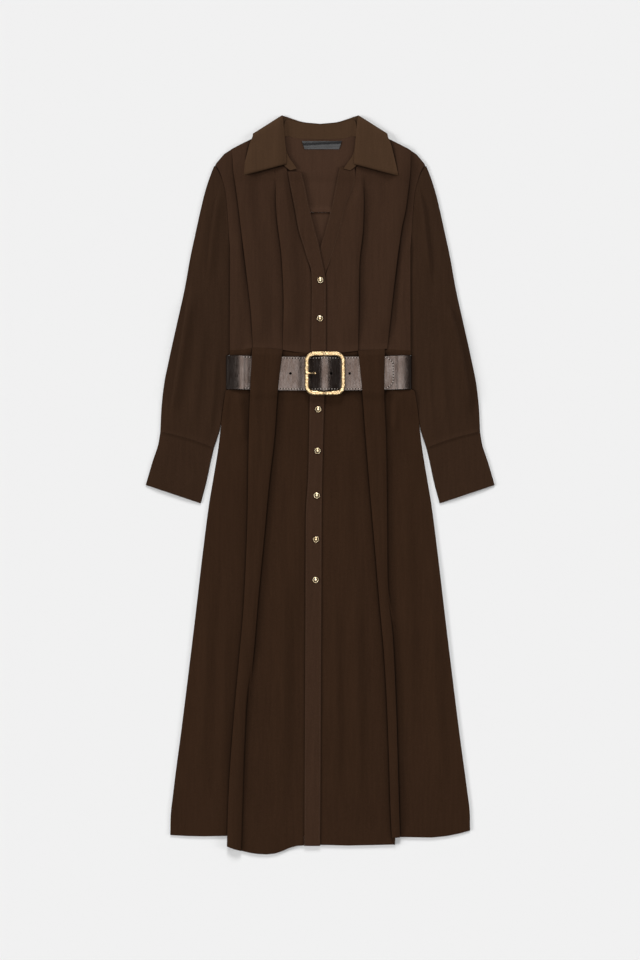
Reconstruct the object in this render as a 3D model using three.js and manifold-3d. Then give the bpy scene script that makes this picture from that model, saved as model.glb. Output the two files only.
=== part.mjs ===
// A belted shirt dress laid flat, front up, in millimetres: +X to the viewer's right, +Y to the collar, +Z up.
// Left and right are the viewer's. Every piece of cloth is a closed wall swept through rows of sections.
import * as THREE from "three";
import { mergeVertices } from "three/addons/utils/BufferGeometryUtils.js";
import Module from "manifold-3d";

const wasm = await Module();
wasm.setup();

const CLOTH = 1.2; // wall of the crepe
const GAP = 0.3; // between two pieces at a seam or a seat
const LAYER = CLOTH + GAP; // rise from one layer of cloth to the next
const BAND_LAYER = LAYER + 0.12; // the same from the front to the band that laps over it
const LEATHER = 2.2; // wall of the belt
const STRAP = LEATHER + GAP; // rise from one layer of belt to the next
const BELT_WIDTH = 60;
const BELT_Y = 202; // centre line of the belt at the sides
const BELT_SAG = 2.6; // how much lower the belt lies at the buckle
const BELT_END = -169.6; // outer face of the belt's turn at the left side
const CENTRE = 0; // the middle line of the dress
const FOLD = 0.75; // radius of a pressed fold's turn, at mid-wall
const FOLD_LEFT_BELT = 1.05; // the same where the left pleat column passes over the belt
const FOLD_RIGHT_BELT = 1.68; // the same at the right, over two layers of belt
const UNDERLAY = 15; // depth of a pleat's hidden part
const SETTLE = 26; // length over which a pleat's top layer sinks back
const NECK_HOLLOW = 1.2; // lift of the front over the back at the chest
const WAIST_HOLLOW = 3; // the same at the belt
const BUCKLE_WIDTH = 73;
const BUCKLE_HEIGHT = 78;
const BUCKLE_BAR = 7.6;
const BUCKLE_PLATE = 3;
const BUCKLE_CORNER = 17;
const BUCKLE_X = 8.6;
const PIN_X = 7.2; // the centre bar
const PIN = 1.5; // its radius
const PRONG = 1.6; // radius of the prong
const BUTTON = 5.6; // radius of a snap's cap
const BUTTON_RISE = 2.6;

const group = new THREE.Group();

function smooth(from, to, value) {
  const t = Math.min(Math.max((value - from) / (to - from), 0), 1);
  return t * t * (3 - 2 * t);
}

function mix(a, b, t) {
  return a + (b - a) * t;
}

// Reads one named column of a table at a value of its y column, whose rows run down the dress.
function read(table, y, column) {
  let i = 0;
  while (i < table.length - 2 && table[i + 1].y > y) i += 1;
  const a = table[i];
  const b = table[i + 1];
  const t = Math.min(Math.max((y - a.y) / (b.y - a.y), 0), 1);
  return mix(a[column], b[column], t);
}

// Reads the y of a curve whose rows run from left to right.
function readAcross(table, x) {
  let i = 0;
  while (i < table.length - 2 && table[i + 1].x < x) i += 1;
  const a = table[i];
  const b = table[i + 1];
  const t = Math.min(Math.max((x - a.x) / (b.x - a.x), 0), 1);
  return mix(a.y, b.y, t);
}

// Outer edge of the body, down one side: half-widths from the shoulder to the hem.
const SIDE = [
  { y: 574.2, half: 189.6 },
  { y: 554.6, half: 178.6 },
  { y: 526.7, half: 170.6 },
  { y: 494.3, half: 167.4 },
  { y: 454.7, half: 164.9 },
  { y: 418.7, half: 162.5 },
  { y: 242.3, half: 162.9 },
  { y: 233.3, half: 160.4 },
  { y: 170.3, half: 160.4 },
  { y: 163.8, half: 170.3 },
  { y: 128.9, half: 176.3 },
  { y: 73.1, half: 182.6 },
  { y: 8.3, half: 193 },
  { y: -34.9, half: 200.2 },
  { y: -117.7, half: 210.9 },
  { y: -225.7, half: 223.5 },
  { y: -333.7, half: 236.6 },
  { y: -441.7, half: 250.1 },
  { y: -549.7, half: 264.2 },
  { y: -603.7, half: 269.7 },
  { y: -632.5, half: 270 },
];

const SLEEVE_TUCK = [
  { y: 454.7, on: 0 },
  { y: 418.7, on: 1 },
  { y: 159.5, on: 1 },
  { y: 116.3, on: 0 },
];

// Height of the back's mid-wall: flat, and lifted over the collar's fall, the belt and the sleeves' inner edges.
function backHeight(x, y) {
  const across = Math.abs(x);
  const overCollar = smooth(542.9, 559.1, y) * smooth(170, 146, across);
  const fromBelt = Math.abs(y - BELT_Y);
  const overBelt = smooth(52, 33, fromBelt);
  const overSleeve = read(SLEEVE_TUCK, y, "on") * smooth(132, 150, across);
  return CLOTH / 2 + Math.max((LAYER + 0.1) * overCollar, STRAP * overBelt, (2 * LAYER) * overSleeve);
}

// Height of the front's mid-wall, one layer above the back at the sides and a little more between them.
function frontHeight(x, y) {
  const half = read(SIDE, y, "half");
  const share = Math.min(Math.abs(x) / half, 1);
  const hollow = mix(NECK_HOLLOW, WAIST_HOLLOW, smooth(110, 40, Math.abs(y - BELT_Y)));
  return backHeight(x, y) + LAYER + hollow * (1 - share ** 4);
}

// Makes a closed wall through rows of mid-wall points. A ring's rows close on themselves.
function wall(rows, thickness, ring = false) {
  const count = rows[0].length;
  const unit = (a, b) => b.clone().sub(a).normalize();
  const along = (row, j) => {
    const sum = new THREE.Vector3();
    if (ring || j > 0) sum.add(unit(row[(j - 1 + count) % count], row[j]));
    if (ring || j < count - 1) sum.add(unit(row[j], row[(j + 1) % count]));
    return sum;
  };
  const down = (i, j) => {
    const sum = new THREE.Vector3();
    if (i > 0) sum.add(unit(rows[i - 1][j], rows[i][j]));
    if (i < rows.length - 1) sum.add(unit(rows[i][j], rows[i + 1][j]));
    return sum;
  };
  const points = [];
  for (const side of [1, -1])
    rows.forEach((row, i) =>
      row.forEach((point, j) => {
        const normal = down(i, j).cross(along(row, j)).normalize();
        points.push(point.clone().addScaledVector(normal, (side * thickness) / 2));
      }),
    );
  const below = rows.length * count;
  const index = [];
  const quad = (a, b, c, d) => index.push(a, b, c, a, c, d);
  const last = ring ? count : count - 1;
  for (let i = 0; i < rows.length - 1; i += 1)
    for (let j = 0; j < last; j += 1) {
      const k = (j + 1) % count;
      const [a, b, c, d] = [i * count + j, i * count + k, (i + 1) * count + k, (i + 1) * count + j];
      quad(a, d, c, b);
      quad(below + a, below + b, below + c, below + d);
    }
  for (let j = 0; j < last; j += 1) {
    const k = (j + 1) % count;
    const end = (rows.length - 1) * count;
    quad(j, k, below + k, below + j);
    quad(end + k, end + j, below + end + j, below + end + k);
  }
  if (!ring)
    for (let i = 0; i < rows.length - 1; i += 1) {
      const [a, d] = [i * count, (i + 1) * count];
      quad(d, a, below + a, below + d);
      quad(a + count - 1, d + count - 1, below + d + count - 1, below + a + count - 1);
    }
  const geometry = new THREE.BufferGeometry().setFromPoints(points);
  geometry.setIndex(index);
  return geometry;
}

function solid(geometry) {
  const plain = geometry.clone();
  plain.deleteAttribute("normal");
  plain.deleteAttribute("uv");
  const merged = mergeVertices(plain, 1e-4);
  const mesh = new wasm.Mesh({
    numProp: 3,
    vertProperties: merged.attributes.position.array,
    triVerts: new Uint32Array(merged.index.array),
  });
  return new wasm.Manifold(mesh);
}

function geometryOf(manifold) {
  const mesh = manifold.getMesh();
  const geometry = new THREE.BufferGeometry();
  geometry.setAttribute("position", new THREE.BufferAttribute(mesh.vertProperties, 3));
  geometry.setIndex(new THREE.BufferAttribute(mesh.triVerts, 1));
  return geometry;
}

const FINISH = {
  crepe: { color: 0x38281d, roughness: 0.85, metalness: 0 },
  collar: { color: 0x3f2e22, roughness: 0.85, metalness: 0 },
  leather: { color: 0x3a2d27, roughness: 0.45, metalness: 0 },
  brass: { color: 0xd9c08a, roughness: 0.4, metalness: 1 },
  satin: { color: 0x201a18, roughness: 0.4, metalness: 0 },
};

function add(name, geometry, finish) {
  const mesh = new THREE.Mesh(geometry, new THREE.MeshStandardMaterial(FINISH[finish]));
  mesh.name = name;
  group.add(mesh);
}

// One row of pleated cloth from one edge to the other. Each fold has its visible edge, the side its
// top layer lies on (+1 right, -1 left), its underlay, its turn and how far it is folded, 0 to 1.
function pleatedRow({ from, to, folds, between, height, bend }) {
  const rowY = (x) => mix(from.y, to.y, (x - from.x) / (to.x - from.x));
  const set = folds.map((fold) => {
    let edge = fold.line[0].x;
    for (let pass = 0; pass < 4; pass += 1) edge = read(fold.line, rowY(edge), "x");
    const y = rowY(edge);
    return {
      edge,
      side: fold.side,
      under: fold.under(y),
      turn: fold.turn(y),
      amount: fold.amount(y),
    };
  });
  const lift = (x, left, right) => {
    const ends = smooth(from.x, from.x + 12, x) * smooth(to.x, to.x - 12, x);
    const a = left && left.side > 0
      ? 4 * left.turn * left.amount * (1 - smooth(left.edge + left.under, left.edge + left.under + SETTLE, x))
      : 0;
    const b = right && right.side < 0
      ? 4 * right.turn * right.amount
        * smooth(right.edge - right.under - SETTLE, right.edge - right.under, x)
      : 0;
    return Math.max(a, b) * (left && right ? 1 : ends);
  };
  const turns = (fold) => {
    const { edge, side, under, turn } = fold;
    const shape = [
      [under - turn, 0],
      [under, turn],
      [under - turn, 2 * turn],
      [turn, 2 * turn],
      [0, 3 * turn],
      [turn, 4 * turn],
    ];
    const ordered = side > 0 ? shape : shape.map(([x, z]) => [-x, z]).reverse();
    return ordered.map(([x, z], i) => ({
      x: edge + mix((i - 2.5) * 2, x, fold.amount),
      lift: z * fold.amount,
    }));
  };
  const points = [];
  let start = { x: from.x, lift: lift(from.x, null, set[0]) };
  points.push(start);
  for (let s = 0; s <= set.length; s += 1) {
    const left = set[s - 1];
    const right = set[s];
    const next = right ? turns(right) : [{ x: to.x, lift: lift(to.x, left, null) }];
    const end = next[0];
    for (let k = 1; k <= between[s]; k += 1) {
      const x = mix(start.x, end.x, k / (between[s] + 1));
      points.push({ x, lift: lift(x, left, right) });
    }
    points.push(...next);
    start = next[next.length - 1];
  }
  return points.map((p, i) => {
    const y = rowY(p.x) + (bend ? bend(p.x, i) : 0);
    return new THREE.Vector3(p.x, y, height(p.x, y) + p.lift);
  });
}

// Visible edges of the pleats, from the shoulder to the hem.
const BODICE_OUTER_LEFT = [
  { y: 602.3, x: -162 },
  { y: 523.1, x: -149.8 },
  { y: 458.3, x: -141.8 },
  { y: 391.7, x: -133.6 },
  { y: 299.9, x: -123.5 },
  { y: 242.3, x: -120.6 },
];
const BODICE_INNER_LEFT = [
  { y: 602.3, x: -83.2 },
  { y: 487.1, x: -78.1 },
  { y: 409.7, x: -69.1 },
  { y: 326.9, x: -65.3 },
  { y: 242.3, x: -67 },
];
const BODICE_INNER_RIGHT = [
  { y: 602.3, x: 79.9 },
  { y: 464.2, x: 77 },
  { y: 395.8, x: 70.2 },
  { y: 240.8, x: 67.9 },
];
const BODICE_OUTER_RIGHT = [
  { y: 602.3, x: 166 },
  { y: 500.8, x: 154.4 },
  { y: 455.2, x: 145.4 },
  { y: 350.3, x: 131.8 },
  { y: 242.3, x: 120.2 },
];
const SKIRT_OUTER_LEFT = [
  { y: 244.1, x: -121.7 },
  { y: 168.5, x: -125.6 },
  { y: 83.9, x: -128.2 },
  { y: -45.7, x: -130.1 },
  { y: -207.7, x: -136.6 },
  { y: -337.3, x: -147.6 },
  { y: -434.5, x: -156.1 },
  { y: -564.1, x: -165.1 },
  { y: -632.5, x: -167.4 },
];
const SKIRT_INNER_LEFT = [
  { y: 242.3, x: -68 },
  { y: 170.3, x: -76.5 },
  { y: 83.9, x: -82.8 },
  { y: -0.7, x: -92.5 },
  { y: -85.3, x: -100.3 },
  { y: -207.7, x: -112 },
  { y: -304.9, x: -119.7 },
  { y: -405.7, x: -126.4 },
  { y: -632.5, x: -135.4 },
];
const SKIRT_INNER_RIGHT = [
  { y: 242.3, x: 68.6 },
  { y: 168.5, x: 76 },
  { y: 83.9, x: 82.4 },
  { y: -13.3, x: 90.2 },
  { y: -110.5, x: 98.6 },
  { y: -207.7, x: 106.6 },
  { y: -292.3, x: 114.3 },
  { y: -369.7, x: 119.3 },
  { y: -466.9, x: 123.3 },
  { y: -632.5, x: 128.5 },
];
const SKIRT_OUTER_RIGHT = [
  { y: 244.1, x: 115.9 },
  { y: 168.5, x: 114.8 },
  { y: 83.9, x: 118.1 },
  { y: -45.7, x: 119.9 },
  { y: -168.1, x: 121 },
  { y: -279.7, x: 138.2 },
  { y: -632.5, x: 150.8 },
];

// The two front edges: the band on top runs down the left front, the one below it down the right front.
const BAND_TOP = [
  { y: 563.4, left: -58.7, right: -34.2 },
  { y: 550.8, left: -56.5, right: -30.6 },
  { y: 495.4, left: -45.9, right: -18.7 },
  { y: 457.4, left: -38.9, right: -9 },
  { y: 437.2, left: -32.9, right: -3.6 },
  { y: 407.9, left: -23.8, right: 2.5 },
  { y: 382.7, left: -16.2, right: 7.7 },
  { y: 357.5, left: -15.5, right: 10.4 },
  { y: 242.8, left: -16.9, right: 10.4 },
  { y: 146.9, left: -19.3, right: 7.2 },
  { y: 19.1, left: -22, right: 4 },
  { y: -60.1, left: -26.3, right: 2.9 },
  { y: -207.7, left: -26.8, right: 2.3 },
  { y: -423.7, left: -27.9, right: 1.4 },
  { y: -650.5, left: -28.8, right: 0 },
];
const BAND_UNDER = [
  { y: 571.7, left: 34.4, right: 61.9 },
  { y: 550.8, left: 30.2, right: 63.4 },
  { y: 502.9, left: 20.7, right: 47 },
  { y: 452.3, left: 7.2, right: 34.4 },
  { y: 404.3, left: -5.8, right: 19.1 },
  { y: 375.5, left: -11.9, right: 9 },
  { y: 242.8, left: -13.3, right: 8.3 },
  { y: 19.1, left: -18.4, right: 2 },
  { y: -207.7, left: -23.2, right: 0.2 },
  { y: -648.7, left: -25.2, right: -2.2 },
];

// Rows of the front bodice: its outer edge and its inner edge, from the shoulder to the waist.
const BODICE_LEFT = [
  { outerX: -189.5, outerY: 574.2, innerX: -73.1, innerY: 648 },
  { outerX: -178.6, outerY: 554.6, innerX: -71.3, innerY: 620.3 },
  { outerX: -170.6, outerY: 526.7, innerX: -64.4, innerY: 584.3 },
  { outerX: -167.4, outerY: 494.3, innerX: -55.4, innerY: 544.7 },
  { outerX: -164.9, outerY: 454.7, innerX: -46.8, innerY: 499.7 },
  { outerX: -162.5, outerY: 418.7, innerX: -36, innerY: 447.5 },
  { outerX: -162.5, outerY: 386.3, innerX: -23.8, innerY: 407.9 },
  { outerX: -162.5, outerY: 346.7, innerX: -16, innerY: 364.7 },
  { outerX: -162.5, outerY: 307.1, innerX: -16.2, innerY: 316.1 },
  { outerX: -162.7, outerY: 271.1, innerX: -16.6, innerY: 272.9 },
  { outerX: -162.7, outerY: 256.7, innerX: -16.9, innerY: 256.7 },
  { outerX: -162.9, outerY: 242.8, innerX: -17.3, innerY: 242.8 },
];
const BODICE_RIGHT = [
  { outerX: 189.4, outerY: 574.2, innerX: 73.1, innerY: 648 },
  { outerX: 178.4, outerY: 554.6, innerX: 71.3, innerY: 620.3 },
  { outerX: 170.5, outerY: 526.7, innerX: 66.2, innerY: 584.3 },
  { outerX: 167.2, outerY: 494.3, innerX: 62.6, innerY: 544.7 },
  { outerX: 164.7, outerY: 454.7, innerX: 46.3, innerY: 499.7 },
  { outerX: 162.4, outerY: 418.7, innerX: 33.1, innerY: 447.5 },
  { outerX: 162.4, outerY: 386.3, innerX: 20.5, innerY: 407 },
  { outerX: 162.4, outerY: 346.7, innerX: 9.2, innerY: 366.5 },
  { outerX: 162.4, outerY: 307.1, innerX: 9, innerY: 316.1 },
  { outerX: 162.5, outerY: 271.1, innerX: 8.8, innerY: 272.9 },
  { outerX: 162.5, outerY: 256.7, innerX: 8.6, innerY: 256.7 },
  { outerX: 162.7, outerY: 242.8, innerX: 8.6, innerY: 242.8 },
];

// The waist seam, left to right, as a height above or below y of the last bodice row.
const WAIST = [
  { x: -169.6, y: 241.6 },
  { x: -137.2, y: 243.4 },
  { x: -101.2, y: 244.8 },
  { x: -70.6, y: 242.6 },
  { x: -44.8, y: 238.7 },
  { x: -18.4, y: 236.5 },
  { x: 17.6, y: 236.2 },
  { x: 42.8, y: 237.6 },
  { x: 68.6, y: 240.8 },
  { x: 117.7, y: 243.4 },
  { x: 143.6, y: 242.3 },
  { x: 168.8, y: 241.2 },
];
const LAST_ROW_Y = BODICE_LEFT[BODICE_LEFT.length - 1].outerY;

function waistBend(x, y) {
  return (readAcross(WAIST, x) - LAST_ROW_Y) * smooth(278.3, LAST_ROW_Y, y);
}

function nearWaist(y) {
  return smooth(285.5, 245.9, y);
}

function bodice(name, table, folds) {
  const rows = table.map((row) => {
    const left = row.outerX < CENTRE
      ? { x: row.outerX, y: row.outerY }
      : { x: row.innerX + GAP, y: row.innerY };
    const right = row.outerX < CENTRE
      ? { x: row.innerX - GAP, y: row.innerY }
      : { x: row.outerX, y: row.outerY };
    const rowY = (x) => mix(left.y, right.y, (x - left.x) / (right.x - left.x));
    return pleatedRow({
      from: left,
      to: right,
      folds,
      between: [3, 4, 3],
      height: frontHeight,
      bend: (x) => waistBend(x, rowY(x)),
    });
  });
  add(name, wall(rows, CLOTH), "crepe");
}

const pressed = (start, full) => (y) => smooth(start, full, y);
const beltTurn = (most) => (y) => mix(FOLD, most, nearWaist(y));

bodice("front_bodice_left", BODICE_LEFT, [
  {
    line: BODICE_OUTER_LEFT,
    side: 1,
    under: () => UNDERLAY,
    turn: beltTurn(0.9),
    amount: pressed(602.3, 562.7),
  },
  {
    line: BODICE_INNER_LEFT,
    side: 1,
    under: () => UNDERLAY,
    turn: beltTurn(0.9),
    amount: pressed(573.5, 503.3),
  },
]);
bodice("front_bodice_right", BODICE_RIGHT, [
  {
    line: BODICE_INNER_RIGHT,
    side: -1,
    under: () => UNDERLAY,
    turn: beltTurn(0.9),
    amount: pressed(573.5, 503.3),
  },
  {
    line: BODICE_OUTER_RIGHT,
    side: -1,
    under: () => UNDERLAY,
    turn: beltTurn(0.9),
    amount: pressed(602.3, 562.7),
  },
]);

// Rows of the skirt, down from the waist; the last one is the hem.
const SKIRT_ROWS = [
  242.8, 229.7, 215.3, 188.3, 170.6, 163.4, 146.9, 119.9, 83.9, 26.3, -45.7,
  -135.7, -207.7, -279.7, -351.7, -423.7, -504.7, -576.7, -630.7,
];
const HEM_SIDE_LEFT = [
  { x: -270.4, y: -631.3 },
  { x: -210.2, y: -633.6 },
  { x: -144.4, y: -632.2 },
];
const HEM_FRONT_LEFT = [
  { x: -167.8, y: -650.7 },
  { x: -142, y: -659.5 },
  { x: -112.7, y: -665.3 },
  { x: -81.5, y: -664.6 },
  { x: -54.2, y: -653.8 },
  { x: -29.2, y: -649.8 },
];
const HEM_FRONT_RIGHT = [
  { x: -2.2, y: -648.7 },
  { x: 49.9, y: -650.2 },
  { x: 129.1, y: -648.4 },
];
const HEM_SIDE_RIGHT = [
  { x: 107.6, y: -637 },
  { x: 143.6, y: -634.7 },
  { x: 200.2, y: -635.8 },
  { x: 227.5, y: -633.2 },
  { x: 250.9, y: -628.4 },
  { x: 271.1, y: -622.8 },
];
const WAIST_GAP = 0.5; // a little over the seam's gap, because the two edges' points differ
const HEM_ROW = SKIRT_ROWS[SKIRT_ROWS.length - 1];

function overBelt(y) {
  return smooth(145.1, 166.7, y);
}

function columnTurn(most) {
  return (y) => mix(FOLD, most, overBelt(y));
}

// The pleat columns' underlays share the column's width between them.
function columnUnder(outer, inner) {
  return (y) => Math.min(UNDERLAY, 0.4 * Math.abs(read(inner, y, "x") - read(outer, y, "x")));
}

function skirt(name, isLeft, folds, between, frontStarts) {
  const rows = SKIRT_ROWS.map((y) => {
    const half = read(SIDE, y, "half");
    const left = isLeft ? -half : read(BAND_UNDER, y, "right") + GAP;
    const right = isLeft ? read(BAND_TOP, y, "left") - GAP : half;
    const bend = (x, i) => {
      const isFront = isLeft ? i >= frontStarts : i < frontStarts;
      const side = isLeft ? HEM_SIDE_LEFT : HEM_SIDE_RIGHT;
      const front = isLeft ? HEM_FRONT_LEFT : HEM_FRONT_RIGHT;
      const hem = readAcross(isFront ? front : side, x);
      const waist = readAcross(WAIST, x) - WAIST_GAP - SKIRT_ROWS[0];
      return waist * smooth(229.9, SKIRT_ROWS[0], y) + (hem - HEM_ROW) * smooth(-468.7, HEM_ROW, y);
    };
    return pleatedRow({
      from: { x: left, y },
      to: { x: right, y },
      folds,
      between,
      height: frontHeight,
      bend,
    });
  });
  return wall(rows, CLOTH);
}

const leftUnder = columnUnder(SKIRT_OUTER_LEFT, SKIRT_INNER_LEFT);
const rightUnder = columnUnder(SKIRT_OUTER_RIGHT, SKIRT_INNER_RIGHT);
const skirtLeft = skirt("front_skirt_left", true, [
  {
    line: SKIRT_OUTER_LEFT,
    side: 1,
    under: leftUnder,
    turn: columnTurn(FOLD_LEFT_BELT),
    amount: () => 1,
  },
  {
    line: SKIRT_INNER_LEFT,
    side: -1,
    under: leftUnder,
    turn: columnTurn(FOLD_LEFT_BELT),
    amount: pressed(-405.7, -279.7),
  },
], [5, 2, 4], 9);
const skirtRight = skirt("front_skirt_right", false, [
  {
    line: SKIRT_INNER_RIGHT,
    side: 1,
    under: rightUnder,
    turn: columnTurn(FOLD_RIGHT_BELT),
    amount: pressed(-747.7, -567.7),
  },
  {
    line: SKIRT_OUTER_RIGHT,
    side: -1,
    under: rightUnder,
    turn: columnTurn(FOLD_RIGHT_BELT),
    amount: pressed(-279.7, -162.7),
  },
], [4, 2, 5], 8);

// The bands of the front edge, as far as the hem.
function band(name, table, lift) {
  const last = table[table.length - 1].y;
  const shared = [...BAND_TOP.slice(1, -1), ...BAND_UNDER.slice(1, -1)].map((row) => row.y);
  const ys = [...shared, ...SKIRT_ROWS.slice(0, -1), 316.1, 271.1, 256.7]
    .sort((a, b) => b - a)
    .filter((y, i, all) => i === 0 || all[i - 1] - y > 1);
  const rows = [table[0].y, ...ys, last].map((y) => {
    const left = read(table, y, "left");
    const right = read(table, y, "right");
    const points = [];
    for (let j = 0; j <= 2; j += 1) {
      const x = mix(left, right, j / 2);
      points.push(new THREE.Vector3(x, y, frontHeight(x, y) + lift));
    }
    return points;
  });
  add(name, wall(rows, CLOTH), "crepe");
}
band("front_band_top", BAND_TOP, BAND_LAYER);
band("front_band_under", BAND_UNDER, 0);

// The back: a yoke with the neck's curve, the bodice below it and the skirt.
const NECK = [
  { x: -189.7, y: 574 },
  { x: -173.2, y: 595.6 },
  { x: -144.4, y: 612.4 },
  { x: -115.6, y: 626.4 },
  { x: -74.2, y: 646.2 },
  { x: -65.9, y: 630.2 },
  { x: -57.2, y: 626.8 },
  { x: -38.2, y: 622.8 },
  { x: 0, y: 621.4 },
];
const YOKE_SHARES = [1, 0.913, 0.761, 0.609, 0.391, 0.347, 0.302, 0.201, 0.1, 0];

function neckY(x) {
  return readAcross(NECK, -Math.abs(x));
}

function backRows(ys, top, bottom, shares) {
  const both = [...shares.map((s) => -s), ...shares.slice(0, -1).reverse()];
  return ys.map((y) => both.map((share) => {
    const x = share * read(SIDE, y, "half");
    const t = (ys[0] - y) / (ys[0] - ys[ys.length - 1]);
    const yHere = mix(top(share), bottom(share), t);
    return new THREE.Vector3(x, yHere, backHeight(x, yHere));
  }));
}

const YOKE_ROWS = [574, 559.1, 542.9, 526.7, 490.7];
const yokeTop = (share) => neckY(share * read(SIDE, 574, "half"));
add("back_yoke", wall(backRows(YOKE_ROWS, yokeTop, () => 490.7, YOKE_SHARES), CLOTH), "crepe");

const PLAIN_SHARES = [1, 0.9, 0.8, 0.5, 0];
const BACK_BODICE_ROWS = [490.7 - GAP, 454.7, 418.7, 332.3, 272.9, 254.9, 242.8];
add(
  "back_bodice",
  wall(backRows(BACK_BODICE_ROWS, () => 490.7 - GAP, () => 242.8, PLAIN_SHARES), CLOTH),
  "crepe",
);
const BACK_SKIRT_ROWS = [
  242.8 - GAP, 233.3, 170.6, 163.4, 150.5, 116.3, 73.1, -34.9, -225.7, -441.7, -630.7,
];
function backSkirt() {
  const rows = BACK_SKIRT_ROWS.map((y) => {
    const row = [];
    for (let j = -4; j <= 4; j += 1) {
      const share = [0, 0.5, 0.8, 0.9, 1][Math.abs(j)] * Math.sign(j);
      const x = share * read(SIDE, y, "half");
      const hem = x < 0 ? readAcross(HEM_SIDE_LEFT, x) : readAcross(HEM_SIDE_RIGHT, x);
      const yHere = y + (Math.max(hem, -633.2) - HEM_ROW) * smooth(-468.7, HEM_ROW, y);
      row.push(new THREE.Vector3(x, yHere, backHeight(x, yHere)));
    }
    return row;
  });
  return wall(rows, CLOTH);
}
add("back_skirt", backSkirt(), "crepe");

// Stations of a sleeve, from the armhole to the cuff's seam: its outer and inner edges, its hollow and
// how far it is puffed. They are for the left sleeve; the right one is its mirror.
const SLEEVE = [
  { outerX: -191.9, outerY: 570.6, innerX: -186.8, innerY: 564.8, hollow: 0.2 },
  { outerX: -196.6, outerY: 559.1, innerX: -178.2, innerY: 547.6, hollow: 0.4 },
  { outerX: -207.2, outerY: 526.7, innerX: -168.8, innerY: 502.4, hollow: 1 },
  { outerX: -215.1, outerY: 494.3, innerX: -166, innerY: 458.3, hollow: 1.6 },
  { outerX: -224.6, outerY: 451.1, innerX: -163.4, innerY: 418.7, hollow: 2 },
  { outerX: -233.5, outerY: 409.7, innerX: -155.2, innerY: 382.7, hollow: 2.4 },
  { outerX: -243.5, outerY: 353.9, innerX: -154.3, innerY: 332.3, hollow: 2.8 },
  { outerX: -257.8, outerY: 289.1, innerX: -156.1, innerY: 274.7, hollow: 3 },
  { outerX: -267.1, outerY: 247.7, innerX: -171.4, innerY: 236.9, hollow: 3 },
  { outerX: -274, outerY: 215.3, innerX: -172.1, innerY: 204.5, hollow: 3 },
  { outerX: -280.8, outerY: 181.1, innerX: -172.1, innerY: 170.3, hollow: 3 },
  { outerX: -285.8, outerY: 134.3, innerX: -179.3, innerY: 116.3, hollow: 2.8 },
  { outerX: -287.6, outerY: 95.4, innerX: -191.9, innerY: 66.6, hollow: 2 },
];
const CUFF = [
  { outerX: -287.6, outerY: 95, innerX: -192, innerY: 66.2, hollow: 2 },
  { outerX: -291.2, outerY: 73.1, innerX: -197.1, innerY: 44.3, hollow: 1.6 },
  { outerX: -301.7, outerY: 40.7, innerX: -204.8, innerY: 8.3, hollow: 1.6 },
  { outerX: -313.9, outerY: -0.9, innerX: -215.8, innerY: -33.7, hollow: 1.4 },
];
const CUFF_SAG = 2.6; // how far the middle of the cuff's seam lies above the line between its ends
const RING_TOP = 9; // points across the top of a sleeve's section
const RING_BELOW = 4; // and across its underside
const SLEEVE_FOLD = { at: 0.3, wide: 0.13, rise: 2.2 }; // the pleat that rises towards the cuff

// A flattened tube: the underside rests on the floor, the top is one layer and its hollow above it.
function tubeRow(station, mirror, fold, sag) {
  const { outerX, outerY, innerX, innerY, hollow } = station;
  const low = CLOTH / 2;
  const turn = LAYER / 2;
  const length = Math.hypot(innerX - outerX, innerY - outerY);
  const inset = turn / length;
  const points = [];
  const put = (t, z) => {
    const bow = sag * (1 - (2 * t - 1) ** 2);
    const x = mix(outerX, innerX, t);
    points.push(new THREE.Vector3(mirror ? -x : x, mix(outerY, innerY, t) + bow, z));
  };
  put(0, low + turn);
  for (let k = 0; k < RING_TOP; k += 1) {
    const t = mix(inset, 1 - inset, k / (RING_TOP - 1));
    const ridge = fold * SLEEVE_FOLD.rise * Math.exp(-(((t - SLEEVE_FOLD.at) / SLEEVE_FOLD.wide) ** 2));
    put(t, low + LAYER + (hollow + ridge) * smooth(0, 0.2, t) * smooth(0.92, 0.7, t));
  }
  put(1, low + turn);
  for (let k = RING_BELOW - 1; k >= 0; k -= 1) put(mix(inset, 1 - inset, k / (RING_BELOW - 1)), low);
  return mirror ? points.reverse() : points;
}

for (const mirror of [false, true]) {
  const side = mirror ? "right" : "left";
  const sleeve = SLEEVE.map((station, i) =>
    tubeRow(station, mirror, smooth(4, 9, i) * 0.8, i === SLEEVE.length - 1 ? CUFF_SAG : 0));
  add(`sleeve_${side}`, wall(sleeve, CLOTH, true), "crepe");
  const cuff = CUFF.map((station, i) => tubeRow(station, mirror, 0, i === 0 ? CUFF_SAG : 0));
  add(`cuff_${side}`, wall(cuff, CLOTH, true), "crepe");
}

// Stations of the collar's fall from the left tip round the back to its middle; the right half is the
// mirror. Each has its seam edge, its roll, its middle and its outer edge with their heights.
const COLLAR = [
  { rollX: -60.8, rollY: 577.8, outX: -140.9, outY: 556.2, back: 0, over: 3.2 },
  { rollX: -61.6, rollY: 598.7, outX: -133.7, outY: 587.9, back: 0, over: 2.2 },
  { rollX: -64.1, rollY: 625.7, outX: -126.4, outY: 616, back: 0, over: 0.6 },
  { rollX: -66.6, rollY: 652.7, outX: -121.7, outY: 626.8, back: 0.15, over: 0.2 },
  { rollX: -68, rollY: 664.7, outX: -121.1, outY: 631.3, back: 0.5, over: 0 },
  { rollX: -67, rollY: 664.7, outX: -121.7, outY: 626.8, back: 0.85, over: 0 },
  { rollX: -60.5, rollY: 662.8, outX: -120.2, outY: 609.5, back: 1, over: 0 },
  { rollX: -47.2, rollY: 658.1, outX: -104.8, outY: 584.3, back: 1, over: 0 },
  { rollX: -29.2, rollY: 653, outX: -61.6, outY: 569.9, back: 1, over: 0 },
  { rollX: 0, rollY: 650.2, outX: 0, outY: 566.3, back: 1, over: 0 },
];
const ROLL = 0.95; // radius of the collar's roll at mid-wall
const STAND_LAYER = LAYER; // the stand lies one layer above the front

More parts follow.
